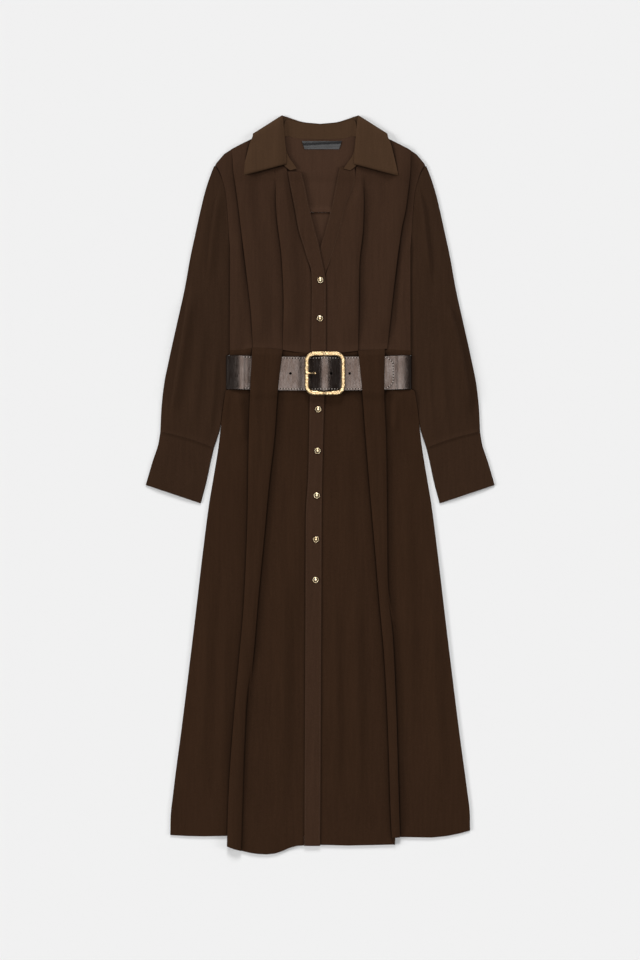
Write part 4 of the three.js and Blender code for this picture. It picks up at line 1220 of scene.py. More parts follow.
@dataclass
class Back:
    """The back: a yoke with the neck's curve, the bodice below it and the skirt."""

    columns: int = 61
    seam: float = 490.7
    keys: tuple[float, ...] = (0.913, 0.761, 0.391, 0.347, 0.302, 0.201)
    wave: float = 0.28
    lip: float = 2.4
    hem_low: float = -633.2

    def grid(self, ys: Array, top: Callable[[Array], Array], bottom: Callable[[Array], Array]) -> Array:
        """Runs rows from side to side.

        Args:
            ys: The rows' heights at the side, falling.
            top: The first row's y at an x.
            bottom: The last row's.

        Returns:
            The grid of mid-wall points.
        """
        plain = np.linspace(-1, 1, self.columns)
        keys = np.array(self.keys)
        shares = np.unique(np.round(np.concatenate([plain, keys, -keys]), 4))
        x = shares[None, :] * SIDE.at(ys)[:, None]
        t = ((ys[0] - ys) / (ys[0] - ys[-1]))[:, None]
        first = x[0] if ys[0] >= YOKE_TOP else x
        y = mix(top(first), bottom(x), t) + np.zeros_like(x)
        return np.stack([x, y, back_height(x, y) + self.relief(x, y)], 2)

    def relief(self, x: Array, y: Array) -> Array:
        """Soft folds of the hidden back, pressed flat where they rest, and the yoke's lip at its seam."""
        waves = np.sin(x * 0.11 + 0.6 * np.sin(y * 0.011)) + 0.6 * np.sin(x * 0.057 + 1.7)
        flat = smooth(1.0, 0.8, np.abs(x) / SIDE.at(y))
        lip = self.lip * smooth(self.seam + 9, self.seam + 4, y) * (y.max() > self.seam)
        return (self.wave * np.clip(waves, 0, 2) + lip) * flat

    def hem(self, x: Array) -> Array:
        """The back hem's y at an x."""
        sides = np.where(x < 0, read(HEM_SIDE_LEFT, x), read(HEM_SIDE_RIGHT, x))
        return np.maximum(sides, self.hem_low)

    def build(self) -> None:
        """Builds and dresses the three panels of the back."""
        inside = LINING_CREPE.material()
        ys = spaced([YOKE_TOP, 504, self.seam], 2.5)
        yoke = self.grid(ys, neck_y, lambda x: self.seam + 0 * x)
        hand_over(wall("yoke", yoke), ["back_yoke"], inside, Cut(0.380, 0.160, 0.0470, ("floor",)))
        ys = spaced([self.seam, 332.3, SKIRT_TOP], 5.0)
        bodice = self.grid(ys, lambda x: ys[0] + 0 * x, lambda x: SKIRT_TOP + 0 * x)
        cut = Cut(0.340, 0.250, 0.0820, ("floor",))
        hand_over(wall("bodice_back", bodice), ["back_bodice"], inside, cut)
        ys = spaced(BACK_SKIRT_ROWS, 7.0)
        skirt = self.grid(ys, lambda x: ys[0] + 0 * x, lambda x: HEM_ROW + 0 * x)
        skirt[:, :, 1] += (self.hem(skirt[:, :, 0]) - HEM_ROW) * smooth(HEM_BEND, HEM_ROW, ys)[:, None]
        cut = Cut(0.545, 0.880, 0.3840, ("floor",))
        hand_over(wall("skirt_back", skirt), ["back_skirt"], SHADED_SKIRT_CREPE.material(), cut)


SLEEVE_STATIONS = (
    (-190.6, 573.9, -189.7, 573.2, 0.1), (-196.6, 559.1, -178.2, 547.6, 0.4), (-207.2, 526.7, -168.8, 502.4, 1),
    (-215.1, 494.3, -166, 458.3, 1.6), (-224.6, 451.1, -163.4, 418.7, 2), (-233.5, 409.7, -155.2, 382.7, 2.4),
    (-243.5, 353.9, -154.3, 332.3, 2.8), (-257.8, 289.1, -156.1, 274.7, 3), (-267.1, 247.7, -171.4, 236.9, 3),
    (-274, 215.3, -172.1, 204.5, 3), (-280.8, 181.1, -172.1, 170.3, 3), (-285.8, 134.3, -179.3, 116.3, 2.8),
    (-287.6, 95.0, -191.9, 66.2, 2),
)
CUFF_STATIONS = (
    (-287.6, 95, -191.9, 66.2, 2), (-291.2, 73.1, -197.1, 44.3, 1.6), (-301.7, 40.7, -204.8, 8.3, 1.6),
    (-313.9, -0.9, -215.8, -33.7, 1.4),
)

ARMHOLE_END = 424.0

# The sleeve's inner edge. Each sleeve has its own notch round the belt, and the plain line has none.
SLEEVE_HEAD = ((384, 155.2), (332.3, 154.3), (274.7, 156.1))
SLEEVE_TAIL = ((160, 171.5), (128.9, 176.8), (110, 179.3), (100, 181), (94.7, 182.6), (66.6, 191.9))
SLEEVE_NOTCHES = {
    "left": ((234.0, 157.4), (233.0, 168.5), (172.3, 168.9), (171.5, 165.5), (167.5, 168.0)),
    "plain": ((237.5, 157),),
    "right": ((237.5, 157), (232.6, 164.9), (172, 165.0), (169.5, 170.5)),
}
SLEEVE_INSIDE = {side: Curve(SLEEVE_HEAD + notch + SLEEVE_TAIL) for side, notch in SLEEVE_NOTCHES.items()}


def sleeve_inside(side: str, y: float) -> float:
    """How far out the sleeve's inner edge lies: at the armhole's seam, then tucked below the body."""
    seam = float(SIDE.at(y)) + GAP
    return float(mix(float(SLEEVE_INSIDE[side].at(y)), seam, smooth(SLEEVE_HEAD[0][0], ARMHOLE_END, y)))


@dataclass
class Sleeve:
    """One long sleeve with its cuff. The stations are the left one's, and the right one mirrors them."""

    side: str
    creases: tuple[Crease, ...]
    seam_bow: float = 2.6
    seam_ridge: float = 1.5
    seam_y: float = 95.0
    seam_width: float = 2.6
    top_points: int = 80
    below_points: int = 14

    def ring(self, station: Array, bow: float, ridge: float, line: float) -> Array:
        """Makes one section: the underside lies flat and the top one layer and its hollow above it.

        Args:
            station: Outer and inner edge in plan, and the hollow.
            bow: How far the section's middle lies above the line between its ends.
            ridge: How far the cuff's seam stands up.
            line: The inner edge that the top's form follows, past the notch at the belt.

        Returns:
            The section's points.
        """
        outer_x, outer_y, inner_x, inner_y, rise = station
        low, turn = CLOTH / 2, LAYER / 2
        inset = min(turn / math.hypot(inner_x - outer_x, inner_y - outer_y), 0.4)
        share = 0.5 - 0.5 * np.cos(np.linspace(0, math.pi, self.top_points))
        top = mix(inset, 1 - inset, share)
        under = mix(inset, 1 - inset, np.linspace(1, 0, self.below_points))
        t = np.concatenate([[0], top, [1], under])
        x = mix(outer_x, inner_x, t)
        y = mix(outer_y, inner_y, t) + bow * (1 - (2 * t - 1) ** 2)
        run = top * (inner_x - outer_x) / (line - outer_x)
        crown = low + LAYER + rise * smooth(0, 0.22, run) * smooth(0.97, 0.7, run)
        shaped = sum((crease.height(x, y) for crease in self.creases), np.zeros_like(x))
        z = np.concatenate([[low + turn], crown, [low + turn], np.full(self.below_points, low)])
        over = slice(1, self.top_points + 1)
        z[over] += shaped[over] * smooth(0, 0.12, run) * smooth(1, 0.9, run)
        z[over] = np.maximum(z[over], low + LAYER)
        z[over] += ridge * smooth(0, 0.06, top) * smooth(1, 0.94, top)
        points = np.stack([x, y, z], 1)
        if self.side == "right":
            points = points[::-1] * [-1, 1, 1]
        return points

    def build(self) -> None:
        """Builds and dresses the sleeve and its cuff."""
        keys = np.concatenate([
            np.linspace(0, 7, 64), np.linspace(7, 11, 89), np.linspace(7.98, 8.2, 12),
            np.linspace(9.9, 10.08, 9), np.linspace(11, 12, 10)])
        sleeve = rows_at(SLEEVE_STATIONS, np.unique(np.round(keys, 3)))
        sleeve[:, 2] = [-sleeve_inside(self.side, y) for y in sleeve[:, 3]]
        lines = np.array([-sleeve_inside("plain", y) for y in sleeve[:, 3]])
        bows = smooth(len(sleeve) - 14, len(sleeve) - 1, np.arange(len(sleeve)))
        self.tube("arm", "sleeve", sleeve, bows, lines, Cut(0.210, 0.500, 0.0820, ("floor",)))
        cuff = curve_rows(CUFF_STATIONS, 14)
        bows = smooth(21, 0, np.arange(len(cuff)))
        self.tube("wrist", "cuff", cuff, bows, cuff[:, 2], Cut(0.210, 0.105, 0.0210, ("floor",)))

    def tube(self, name: str, node: str, rows: Array, bows: Array, lines: Array, cut: Cut) -> None:
        """Builds one tube and dresses it.

        Args:
            name: The piece's name, without its side.
            node: The name of the node that it stands for, without its side.
            rows: The sections' stations.
            bows: How far each section bows, as a share of the cuff seam's bow.
            lines: The inner edge that each section's top follows.
            cut: Its flat cut.
        """
        ridges = self.seam_ridge * np.exp(-(((rows[:, 1] - self.seam_y) / self.seam_width) ** 2))
        rings = np.array([self.ring(*row) for row in zip(rows, bows * self.seam_bow, ridges, lines)])
        made = wall(f"{name}_{self.side}", rings, ring=True)
        hand_over(made, [f"{node}_{self.side}"], SLEEVE_CREPE.material(), cut)


def sleeves() -> list[Sleeve]:
    """The two sleeves with their folds, which differ a little.

    Returns:
        The left one and the right one.
    """
    left = (
        Crease(((-232.6, 359.3), (-238, 326.9), (-249.1, 254.9), (-259.6, 188.3), (-269.6, 114.5)),
               6.5, 13, 0.22, 1.8),
        Crease(((-176.8, 548.3), (-187.6, 499.7), (-194.9, 445.7), (-203, 350.3)), 5.0, 10, 0.3, 2.2),
        Crease(((-211, 296.3), (-220, 188.3), (-230.8, 87.5)), 3.4, 9, 0.35),
        Crease(((-187.6, 251.3), (-193, 152.3), (-202, 71.3)), 2.6, 6, 0.35),
    )
    right = (
        Crease(((-229, 332.3), (-240.8, 290.9), (-254.9, 236.9), (-265, 179.3), (-273.2, 119.9)),
               6.5, 13, 0.22, 1.8),
        Crease(((-175, 548.3), (-185.8, 490.7), (-192.6, 429.5), (-201.6, 350.3)), 5.0, 10, 0.3, 2.2),
        Crease(((-214.6, 269.3), (-221.8, 170.3), (-234.4, 87.5)), 3.2, 9, 0.35),
        Crease(((-191.2, 260.3), (-196.6, 155.9), (-205.6, 71.3)), 2.6, 6, 0.35),
    )
    return [Sleeve("left", left), Sleeve("right", right)]


@dataclass
class Collar:
    """The collar: its fall, its stand and the label inside the neck."""

    fall_wall: float = 1.6
    label_wall: float = 0.6
    roll_limit: float = 649.1
    edge_limit: float = 623.9
    edge_lift: float = 1.3
    lips: tuple[float, ...] = (2.6, 1.5, 0.6)
    lip_inset: float = 0.6
    label_x: float = 3.0
    label_half: float = 31.0
    label_flare: float = 5.0
    label_top: float = 618.7
    label_foot: float = 604.1

    def fall_row(self, station: Array) -> Array:
        """Makes one section of the fall, from the roll to the outer edge.

        Args:
            station: The roll and the outer edge in plan, how far it lies at the back and its lift.

        Returns:
            The section's points.
        """
        roll_x, roll_y, out_x, out_y, back, over = station
        ground = self.fall_wall / 2
        top = float(front_height(np.array(roll_x), np.array(min(roll_y, self.roll_limit)))) + 2 * LAYER
        rim = float(front_height(np.array(out_x), np.array(min(out_y, self.edge_limit))))
        rim = rim + LAYER + self.edge_lift + over
        t = np.concatenate([[0.0, 0.03], np.linspace(0.07, 1, 15)])
        t = t * (1 - GAP / math.hypot(out_x - roll_x, out_y - roll_y))
        free = mix(top + 1.0, rim, smooth(0.45, 1, t)) + 1.2 * np.exp(-(((t - 0.2) / 0.16) ** 2))
        free = free - 2.0 * smooth(0.1, 0, t) + 0.35 * over * np.sin(t * math.pi)
        z = mix(free, ground, smooth(0, 1, back))
        return np.stack([mix(roll_x, out_x, t), mix(roll_y, out_y, t), z], 1)

    def stand_row(self, station: Array) -> Array:
        """Makes one section of the stand, from its upper edge to the neck seam."""
        upper_x, upper_y, seam_x, seam_y, front = station
        high = float(front_height(np.array(upper_x), np.array(min(seam_y, self.roll_limit)))) + LAYER
        low = float(back_height(np.array(seam_x), np.array(seam_y)))
        t = np.linspace(0, 1, 7)
        z = mix(low + (1 - t) * GAP, high, front)
        return np.stack([mix(upper_x, seam_x, t), mix(upper_y, seam_y, t), z], 1)

    def round_the_neck(self, half: Array) -> Array:
        """Adds the mirror of the left half, whose last row is the middle of the back."""
        return np.concatenate([half, half[:-1][::-1] * [-1, 1, 1]])

    def build(self) -> None:
        """Builds and dresses the fall, the stand and the label."""
        fall = curve_rows((
            (-60.8, 577.8, -140.9, 556.2, 0, 4.6), (-61.6, 598.7, -133.7, 587.9, 0, 3.0),
            (-64.1, 625.7, -126.4, 616, 0, 0.6), (-66.6, 652.7, -121.7, 626.8, 0.15, 0.2),
            (-68, 664.7, -121.1, 631.3, 0.5, 0), (-67, 664.7, -121.7, 626.8, 0.85, 0),
            (-60.5, 662.8, -120.2, 609.5, 1, 0), (-47.2, 658.1, -104.8, 584.3, 1, 0),
            (-29.2, 653, -61.6, 569.9, 1, 0), (0, 650.2, 0, 566.3, 1, 0)), 7)
        stand = curve_rows((
            (-41.8, 568.8, -54.4, 565.6, 1), (-49.7, 580, -64.1, 573.5, 1), (-58, 592.6, -74.9, 587.9, 1),
            (-63.4, 614.9, -77.8, 611.3, 1), (-64.4, 629.3, -68, 619.2, 0.96),
            (-65.4, 643.7, -64.7, 626.8, 0.5), (-60, 657.6, -57.9, 627.2, 0),
            (-38.2, 652.4, -38.2, 623.2, 0), (0, 648.2, 0, 621.8, 0),
        ), 7)
        # The collar's lighter crepe is a painted highlight
        fabric = LIT_COLLAR_CREPE.material()
        rows = np.array([self.fall_row(row) for row in fall])
        lip = [rows[0] + [0, -self.lip_inset, -depth] for depth in self.lips]
        grid = self.round_the_neck(np.concatenate([np.array(lip), rows]))
        hand_over(wall("fall", grid, self.fall_wall), ["collar_fall"], fabric,
                  Cut(0.520, 0.090, 0.0320, ("front_bodice_left", "front_bodice_right", "floor")))
        grid = self.round_the_neck(np.array([self.stand_row(row) for row in stand]))
        hand_over(wall("stand", grid), ["collar_stand"], fabric,
                  Cut(0.300, 0.024, 0.0055, ("back_yoke", "front_bodice_left", "front_bodice_right")))
        share = np.linspace(-1, 1, 61)[None, :]
        y = np.linspace(self.label_top, self.label_foot, 15)[:, None]
        flare = self.label_flare * (y - self.label_foot) / (self.label_top - self.label_foot)
        x = self.label_x + share * (self.label_half + flare)
        z = float(back_height(np.array(0.0), np.array(610.0))) + CLOTH / 2 + GAP + self.label_wall / 2
        z = z + 0.3 * np.sin(x * 0.16 + 0.9) + 0.6 * np.exp(-(((y - 611.0 - 0.05 * x) / 4.2) ** 2))
        grid = np.stack([x + 0 * y, y + 0 * x, z + 0 * x * y], 2)
        hand_over(wall("label", grid, self.label_wall), ["neck_label"], SATIN.material(),
                  Cut(0.072, 0.015, 0.00098, ("back_yoke",)))


def panel_top(x: Array) -> Array:
    """The height of what the belt lies on."""
    bands = BAND_LAYER * smooth(40, 22, np.abs(x + 4))
    return front_height(x, np.full_like(x, BELT_Y)) + CLOTH / 2 + bands


def level_one(x: Array) -> Array:
    """Mid-wall height of the belt's lower layer."""
    return panel_top(x) + GAP + LEATHER / 2


def at(height: Callable[[Array], Array], x: float) -> float:
    """Reads a height at one place."""
    return float(height(np.array([x]))[0])


def belt_y(x: float | Array) -> Array:
    """The belt's centre line, which sags a little to the buckle."""
    return BELT_Y - BELT_SAG * (1 - np.minimum(np.abs(x) / 150, 1) ** 2)


# How far the strap stands up over the bar, and its mid-wall line round the left side
HUMP = (
    (-22.0, 0.0), (-20.0, 0.02), (-16.0, 0.13), (-12.0, 0.34), (-8.0, 0.57), (-4.0, 0.77), (0.0, 0.91),
    (4.0, 0.98), (8.0, 1.0), (12.0, 0.98), (16.0, 0.91), (20.0, 0.77), (24.0, 0.56), (28.0, 0.33),
    (32.0, 0.14), (36.0, 0.02), (38.0, 0.0),
)
LEFT_SIDE = (
    (-138.5, 11.15), (-143.0, 11.0), (-147.0, 10.6), (-151.0, 9.85), (-155.0, 8.95), (-159.5, 7.7),
    (-164.0, 6.0), (-167.4, 4.2), (-168.5, 2.9), (-168.0, 1.9), (-166.0, 1.25), (-162.5, 1.1),
)


@dataclass
class Belt:
    """The belt with its buckle and prong."""

    tip: float = 134.3
    tip_round: float = 20.0
    tip_blunt: float = 0.6
    left_lift: float = 2.6
    under_lift: float = 1.4
    right_end: float = 164.3
    holes: tuple[tuple[float, float], ...] = ((-53.5, 1.9), (19.4, 1.9), (52.9, 4.3))
    hole: float = 2.4
    prong_hole: float = -8.6
    frame_width: float = 73.0
    frame_height: float = 78.0
    bar: float = 7.6
    corner: float = 17.0
    prong: float = 1.6
    eye: float = 0.95
    nub_wide: float = 3.1
    nub_long: float = 3.4
    columns: int = 31
    stitched_rows: int = 119
    pin_z: float = field(init=False)
    plate_z: float = field(init=False)
    middle_y: float = field(init=False)

    def __post_init__(self) -> None:
        """Sets the heights of the bar and of the frame."""
        self.pin_z = at(panel_top, PIN_X) + STRAP + GAP + PIN
        self.plate_z = at(panel_top, BUCKLE_X) + 2 * STRAP + GAP + BUCKLE_PLATE / 2 + 0.1
        self.middle_y = float(belt_y(BUCKLE_X)) + 0.2

    def tip_height(self, x: Array) -> Array:
        """Mid-wall height of the strap's upper layer, which climbs over the bar."""
        flat = level_one(x) + STRAP * smooth(-8, 24, x - PIN_X) + self.left_lift * smooth(-118, -138, x)
        crest = self.pin_z + PIN + GAP + LEATHER + GAP + LEATHER / 2 + 0.15
        return mix(flat, crest, np.clip(Curve(HUMP).at(x), 0, 1))

    def under_height(self, x: Array) -> Array:
        """Mid-wall height of the strap's lower layer at the right, which lifts a little towards the side."""
        return level_one(x) + self.under_lift * smooth(134, 142, x)

    def path(self) -> Array:
        """Runs the strap from its tip over the bar, round the back and to the bar again.

        Returns:
            Rows of x, z and half width. The first stitched_rows are those with stitches.
        """
        rows = []

        def put(xs: Sequence[float], zs: Sequence[float]) -> None:
            """Adds stations of the whole width."""
            rows.extend((float(x), float(z), BELT_WIDTH / 2) for x, z in zip(xs, zs))

        left = curve_rows(LEFT_SIDE, 4)
        back = np.array([0, 0.4, 1, 2, 3.4, 5, 7, 9.5, 12, 15, 18, self.tip_round])
        gone = (back + self.tip_blunt) / (self.tip_round + self.tip_blunt)
        half = BELT_WIDTH / 2 * np.sqrt(1 - (1 - gone) ** 2) ** 0.9
        near = self.tip - back
        rows += list(zip(near.tolist(), self.tip_height(near).tolist(), half.tolist()))
        top = np.concatenate([np.linspace(112, 40, 25), np.linspace(38, -24, 42), np.linspace(-26, -136, 38)])
        put(top, self.tip_height(top))
        put(left[:, 0], left[:, 1])
        put(np.linspace(-158, 152, 40), np.full(40, LEATHER / 2))
        high, low = at(self.under_height, 141), LEATHER / 2
        angle = np.radians(np.concatenate([np.linspace(84, 0, 18), np.linspace(-8, -80, 9)]))[::-1]
        reach = np.where(angle > 0, 23, 5.5)
        side = self.right_end - LEATHER / 2 - reach + reach * np.cos(angle)
        put(side, (high + low) / 2 + (high - low) / 2 * np.sin(angle))
        below = np.linspace(139, 26, 36)
        put(below, self.under_height(below))
        around = PIN + GAP + LEATHER / 2 + 0.05
        put([PIN_X + 9], [mix(at(level_one, PIN_X + 9), self.pin_z + around, 0.45)])
        put([PIN_X + 4], [self.pin_z + around * 0.9])
        angle = np.radians(np.linspace(90, 225, 8))
        put(PIN_X + around * np.cos(angle), self.pin_z + around * np.sin(angle))
        put([PIN_X + 1, PIN_X + 6], [self.pin_z - around] * 2)
        return np.array(rows)

    def grid(self) -> Array:
        """The strap's mid-wall points."""
        path = self.path()
        share = np.linspace(-1, 1, self.columns)
        edge = np.sin(share * math.pi / 2) * 0.5 + share * 0.5
        x, z, half = path[:, :1], path[:, 1:2], path[:, 2:]
        y = belt_y(x) + edge[None, :] * half
        return np.stack([x + 0 * y, y, z + 0 * y], 2)

    def fills(self, grid: Array) -> Array:
        """Says which points of a skirt's front lie in the strap's way.

        Args:
            grid: Mid-wall points of the skirt.

        Returns:
            True where the strap needs the room.
        """
        x, y, z = grid[:, :, 0], grid[:, :, 1], grid[:, :, 2]
        beside = np.abs(y - belt_y(x)) < BELT_WIDTH / 2 + GAP + CLOTH / 2
        low = level_one(x) - LEATHER / 2
        flat = x.ravel()
        high = np.where(x > 0, self.tip_height(flat).reshape(x.shape), level_one(x)) + LEATHER / 2
        behind = (z > low - CLOTH * 0.4) & (z < high + CLOTH * 0.4)
        return beside & behind & (np.abs(x) > 40) & (np.abs(x) < 160)

    def prong_path(self) -> Array:
        """The prong's centre line, from its eye on the bar to the frame's left bar."""
        rest = self.plate_z + BUCKLE_PLATE / 2 + GAP + self.prong
        points = [
            (PIN_X - 2.6, self.pin_z + 2.2, 1.5), (PIN_X - 8, self.pin_z + 3.4, 1.75),
            (self.prong_hole, at(self.tip_height, self.prong_hole), 1.7),
            (self.prong_hole - 8, rest - 0.6, 1.6), (self.prong_hole - 13, rest + 0.1, 1.55),
            (BUCKLE_X - 33, rest, 1.45), (BUCKLE_X - 35, rest - 0.2, 1.1),
            (BUCKLE_X - 35.9, rest - 0.4, 0.4),
        ]
        return curve_rows(points, 6)

    def tube(self, path: Array, sides: int = 16) -> tuple[Array, Array]:
        """Sweeps a round section along a path in the plane of the prong.

        Args:
            path: Rows of x, z and radius.
            sides: Points to a section.

        Returns:
            Points and faces.
        """
        steps = np.gradient(path[:, :2], axis=0)
        steps /= np.linalg.norm(steps, axis=1, keepdims=True)
        angle = angles(sides)
        across = path[:, 2:3] * np.cos(angle)[None, :]
        y = self.middle_y + path[:, 2:3] * np.sin(angle)[None, :]
        x = path[:, :1] - steps[:, 1:2] * across
        z = path[:, 1:2] + steps[:, :1] * across
        points = np.stack([x, y, z], 2)
        return tube_mesh(points)

    def build(self) -> None:
        """Builds the strap, the buckle and the prong, and dresses them."""
        strap = wall("strap", self.grid(), LEATHER)
        for x, depth in self.holes:
            self.punch(strap, x, float(belt_y(x)), at(self.tip_height, x), depth)
        strap.data.set_sharp_from_angle(angle=math.radians(Shading.CRISP.value))
        hand_over(strap, ["belt_strap"], LEATHER_FINISH.material())
        self.build_buckle()
        turn, section = angles(32)[:, None], angles(12)[None, :]
        radius = PIN + GAP + 1.0 + self.eye * np.cos(section)
        x = PIN_X + radius * np.cos(turn)
        z = self.pin_z + radius * np.sin(turn)
        y = self.middle_y + 2.0 * np.sin(section) + 0 * x
        prong = joined("prong", [self.tube(self.prong_path()), tube_mesh(np.stack([x, y, z], 2), closed=True)])
        hand_over(prong, ["belt_prong"], BRASS.material())

    def punch(self, strap: bpy.types.Object, x: float, y: float, z: float, depth: float) -> None:
        """Punches a round hole through the strap.

        Args:
            strap: The strap.
            x: The hole's place along the belt.
            y: Its place across.
            z: The height of the layer it goes through.
            depth: How far below that height it reaches.
        """
        rings = np.array([disc((x, y, z + h), self.hole, self.hole, 32) for h in (-depth, 1.9)])
        cutter = make_object("punch", *tube_mesh(rings))
        cut = strap.modifiers.new("hole", "BOOLEAN")
        cut.object, cut.operation, cut.solver = cutter, "DIFFERENCE", "EXACT"
        apply_modifiers(strap)
        bpy.data.objects.remove(cutter)

    def build_buckle(self) -> None:
        """Builds the frame, its bar and the nubs that carry the bar."""
        w, h = (self.frame_width - self.bar) / 2, (self.frame_height - self.bar) / 2
        r = self.corner - self.bar / 2
        centres = ((w - r, h - r, 0), (-w + r, h - r, 90), (-w + r, -h + r, 180), (w - r, -h + r, 270))
        corners = [np.stack([cx + r * np.cos(a), cy + r * np.sin(a)], 1)
                   for cx, cy, turn in centres for a in [np.radians(np.linspace(turn, turn + 90, 13))]]
        line = np.concatenate(corners)
        line = np.concatenate([line, line[:1]])
        far = np.concatenate([[0], np.cumsum(np.hypot(*np.diff(line, axis=0).T))])
        s = np.linspace(0, far[-1], 241)[:-1]
        px, py = np.interp(s, far, line[:, 0]), np.interp(s, far, line[:, 1])
        out = np.stack([np.roll(py, -1) - np.roll(py, 1), np.roll(px, 1) - np.roll(px, -1)], 1)
        out /= np.linalg.norm(out, axis=1, keepdims=True)
        angle = angles(24)
        wide = np.sign(np.cos(angle)) * np.abs(np.cos(angle)) ** 0.75 * self.bar / 2
        high = np.sign(np.sin(angle)) * np.abs(np.sin(angle)) ** 0.75 * BUCKLE_PLATE / 2
        beaten = 0.16 * np.sin(s * 1.9 + 1.3 * np.sin(s * 0.37))[:, None] * np.cos(angle * 3 + s[:, None] * 0.8)
        beaten += 0.12 * np.sin(s * 0.83 + 0.7)[:, None] * np.sin(angle * 2 + 0.4)
        x = BUCKLE_X + px[:, None] + out[:, :1] * (wide[None, :] + beaten)
        y = self.middle_y + py[:, None] + out[:, 1:] * (wide[None, :] + beaten)
        z = self.plate_z + high[None, :] + beaten * (np.sin(angle) > 0)
        parts = [tube_mesh(np.stack([x, y, z], 2), closed=True)]
        turn = angles(20)
        rod = np.array([
            np.stack([PIN_X + PIN * np.cos(turn), np.full(20, self.middle_y + v),
                      self.pin_z + PIN * np.sin(turn)], 1)
            for v in np.linspace(-h, h, 20)])
        parts.append(tube_mesh(rod[:, ::-1]))
        foot, top = self.pin_z - PIN, self.plate_z + BUCKLE_PLATE / 2 + 0.35
        levels = ((foot, 0.7), (foot + 0.5, 1), (top - 1.2, 1), (top - 0.4, 0.85), (top, 0.45))
        for end in (-1, 1):
            parts.append(tube_mesh(np.array([
                disc((PIN_X, self.middle_y + end * h, z), self.nub_wide * shrink, self.nub_long * shrink, 20)
                for z, shrink in levels])))
        hand_over(joined("buckle", parts), ["belt_buckle"], BRASS.material())


def tube_mesh(rings: Array, closed: bool = False) -> tuple[Array, Array]:
    """Joins rings of points into a tube with closed ends, or into a closed loop.

    Args:
        rings: Rings by points by three.
        closed: Whether the last ring joins the first one.

    Returns:
        Points and faces.
    """
    rows, count = rings.shape[:2]
    points = rings.reshape(-1, 3)
    i, j = np.meshgrid(np.arange(rows if closed else rows - 1), np.arange(count), indexing="ij")
    i, j = i.ravel(), j.ravel()
    n, k = (i + 1) % rows, (j + 1) % count
    faces = [np.stack([i * count + j, i * count + k, n * count + k, n * count + j], 1)]
    if not closed:
        points = np.concatenate([points, rings[:1].mean(1), rings[-1:].mean(1)])
        j = np.arange(count)
        k = (j + 1) % count
        first, last = rows * count, rows * count + 1
        end = (rows - 1) * count
        faces.append(np.stack([k, j, np.full(count, first), np.full(count, first)], 1))
        faces.append(np.stack([end + j, end + k, np.full(count, last), np.full(count, last)], 1))
    faces = np.concatenate(faces)
    a, b, c = (points[faces[:, n]] for n in (0, 1, 2))
    volume = np.einsum("ij,ij->i", a, np.cross(b, c)).sum()
    fourth = points[faces[:, 3]]
    volume += np.einsum("ij,ij->i", a, np.cross(c, fourth)).sum()
    return points, faces if volume > 0 else faces[:, ::-1]


def apply_modifiers(piece: bpy.types.Object) -> None:
    """Puts the result of a piece's modifiers into its mesh."""
    depsgraph = bpy.context.evaluated_depsgraph_get()
    mesh = bpy.data.meshes.new_from_object(piece.evaluated_get(depsgraph))
    piece.modifiers.clear()
    piece.data = mesh


@dataclass
class Snaps:
    """The domed caps down the front band."""

    places: tuple[tuple[float, float], ...] = (
        (0.2, 368.1), (-0.5, 299.3), (-3.6, 135.5), (-4.7, 60.7), (-6.1, -19.8), (-7.6, -98.8), (-8.1, -171.4))
    profile: tuple[tuple[float, float], ...] = (
        (0.0, 0.0), (4.9, 0.0), (5.45, 0.25), (5.6, 0.7), (5.5, 1.1), (5.15, 1.35), (4.75, 1.3), (4.5, 1.15),
        (4.3, 1.25), (3.9, 1.65), (3.2, 2.1), (2.3, 2.4), (1.2, 2.56), (0.0, 2.6))
    lift: float = 0.2
    point: float = 0.01

    def build(self) -> None:
        """Builds and dresses each cap: a dome in a rolled rim, from its profile of radius and height."""
        for n, (x, y) in enumerate(self.places, 1):
            ground = float(front_with_creases(np.array(x), np.array(y)))
            base = ground + BAND_LAYER + CLOTH / 2 + GAP + self.lift
            rings = [disc((x, y, base + z), *[max(r, self.point)] * 2, 40) for r, z in self.profile]
            piece = make_object(f"snap_{n}", *tube_mesh(np.array(rings)))
            hand_over(piece, [f"button_{n}"], SNAP_BRASS.material())


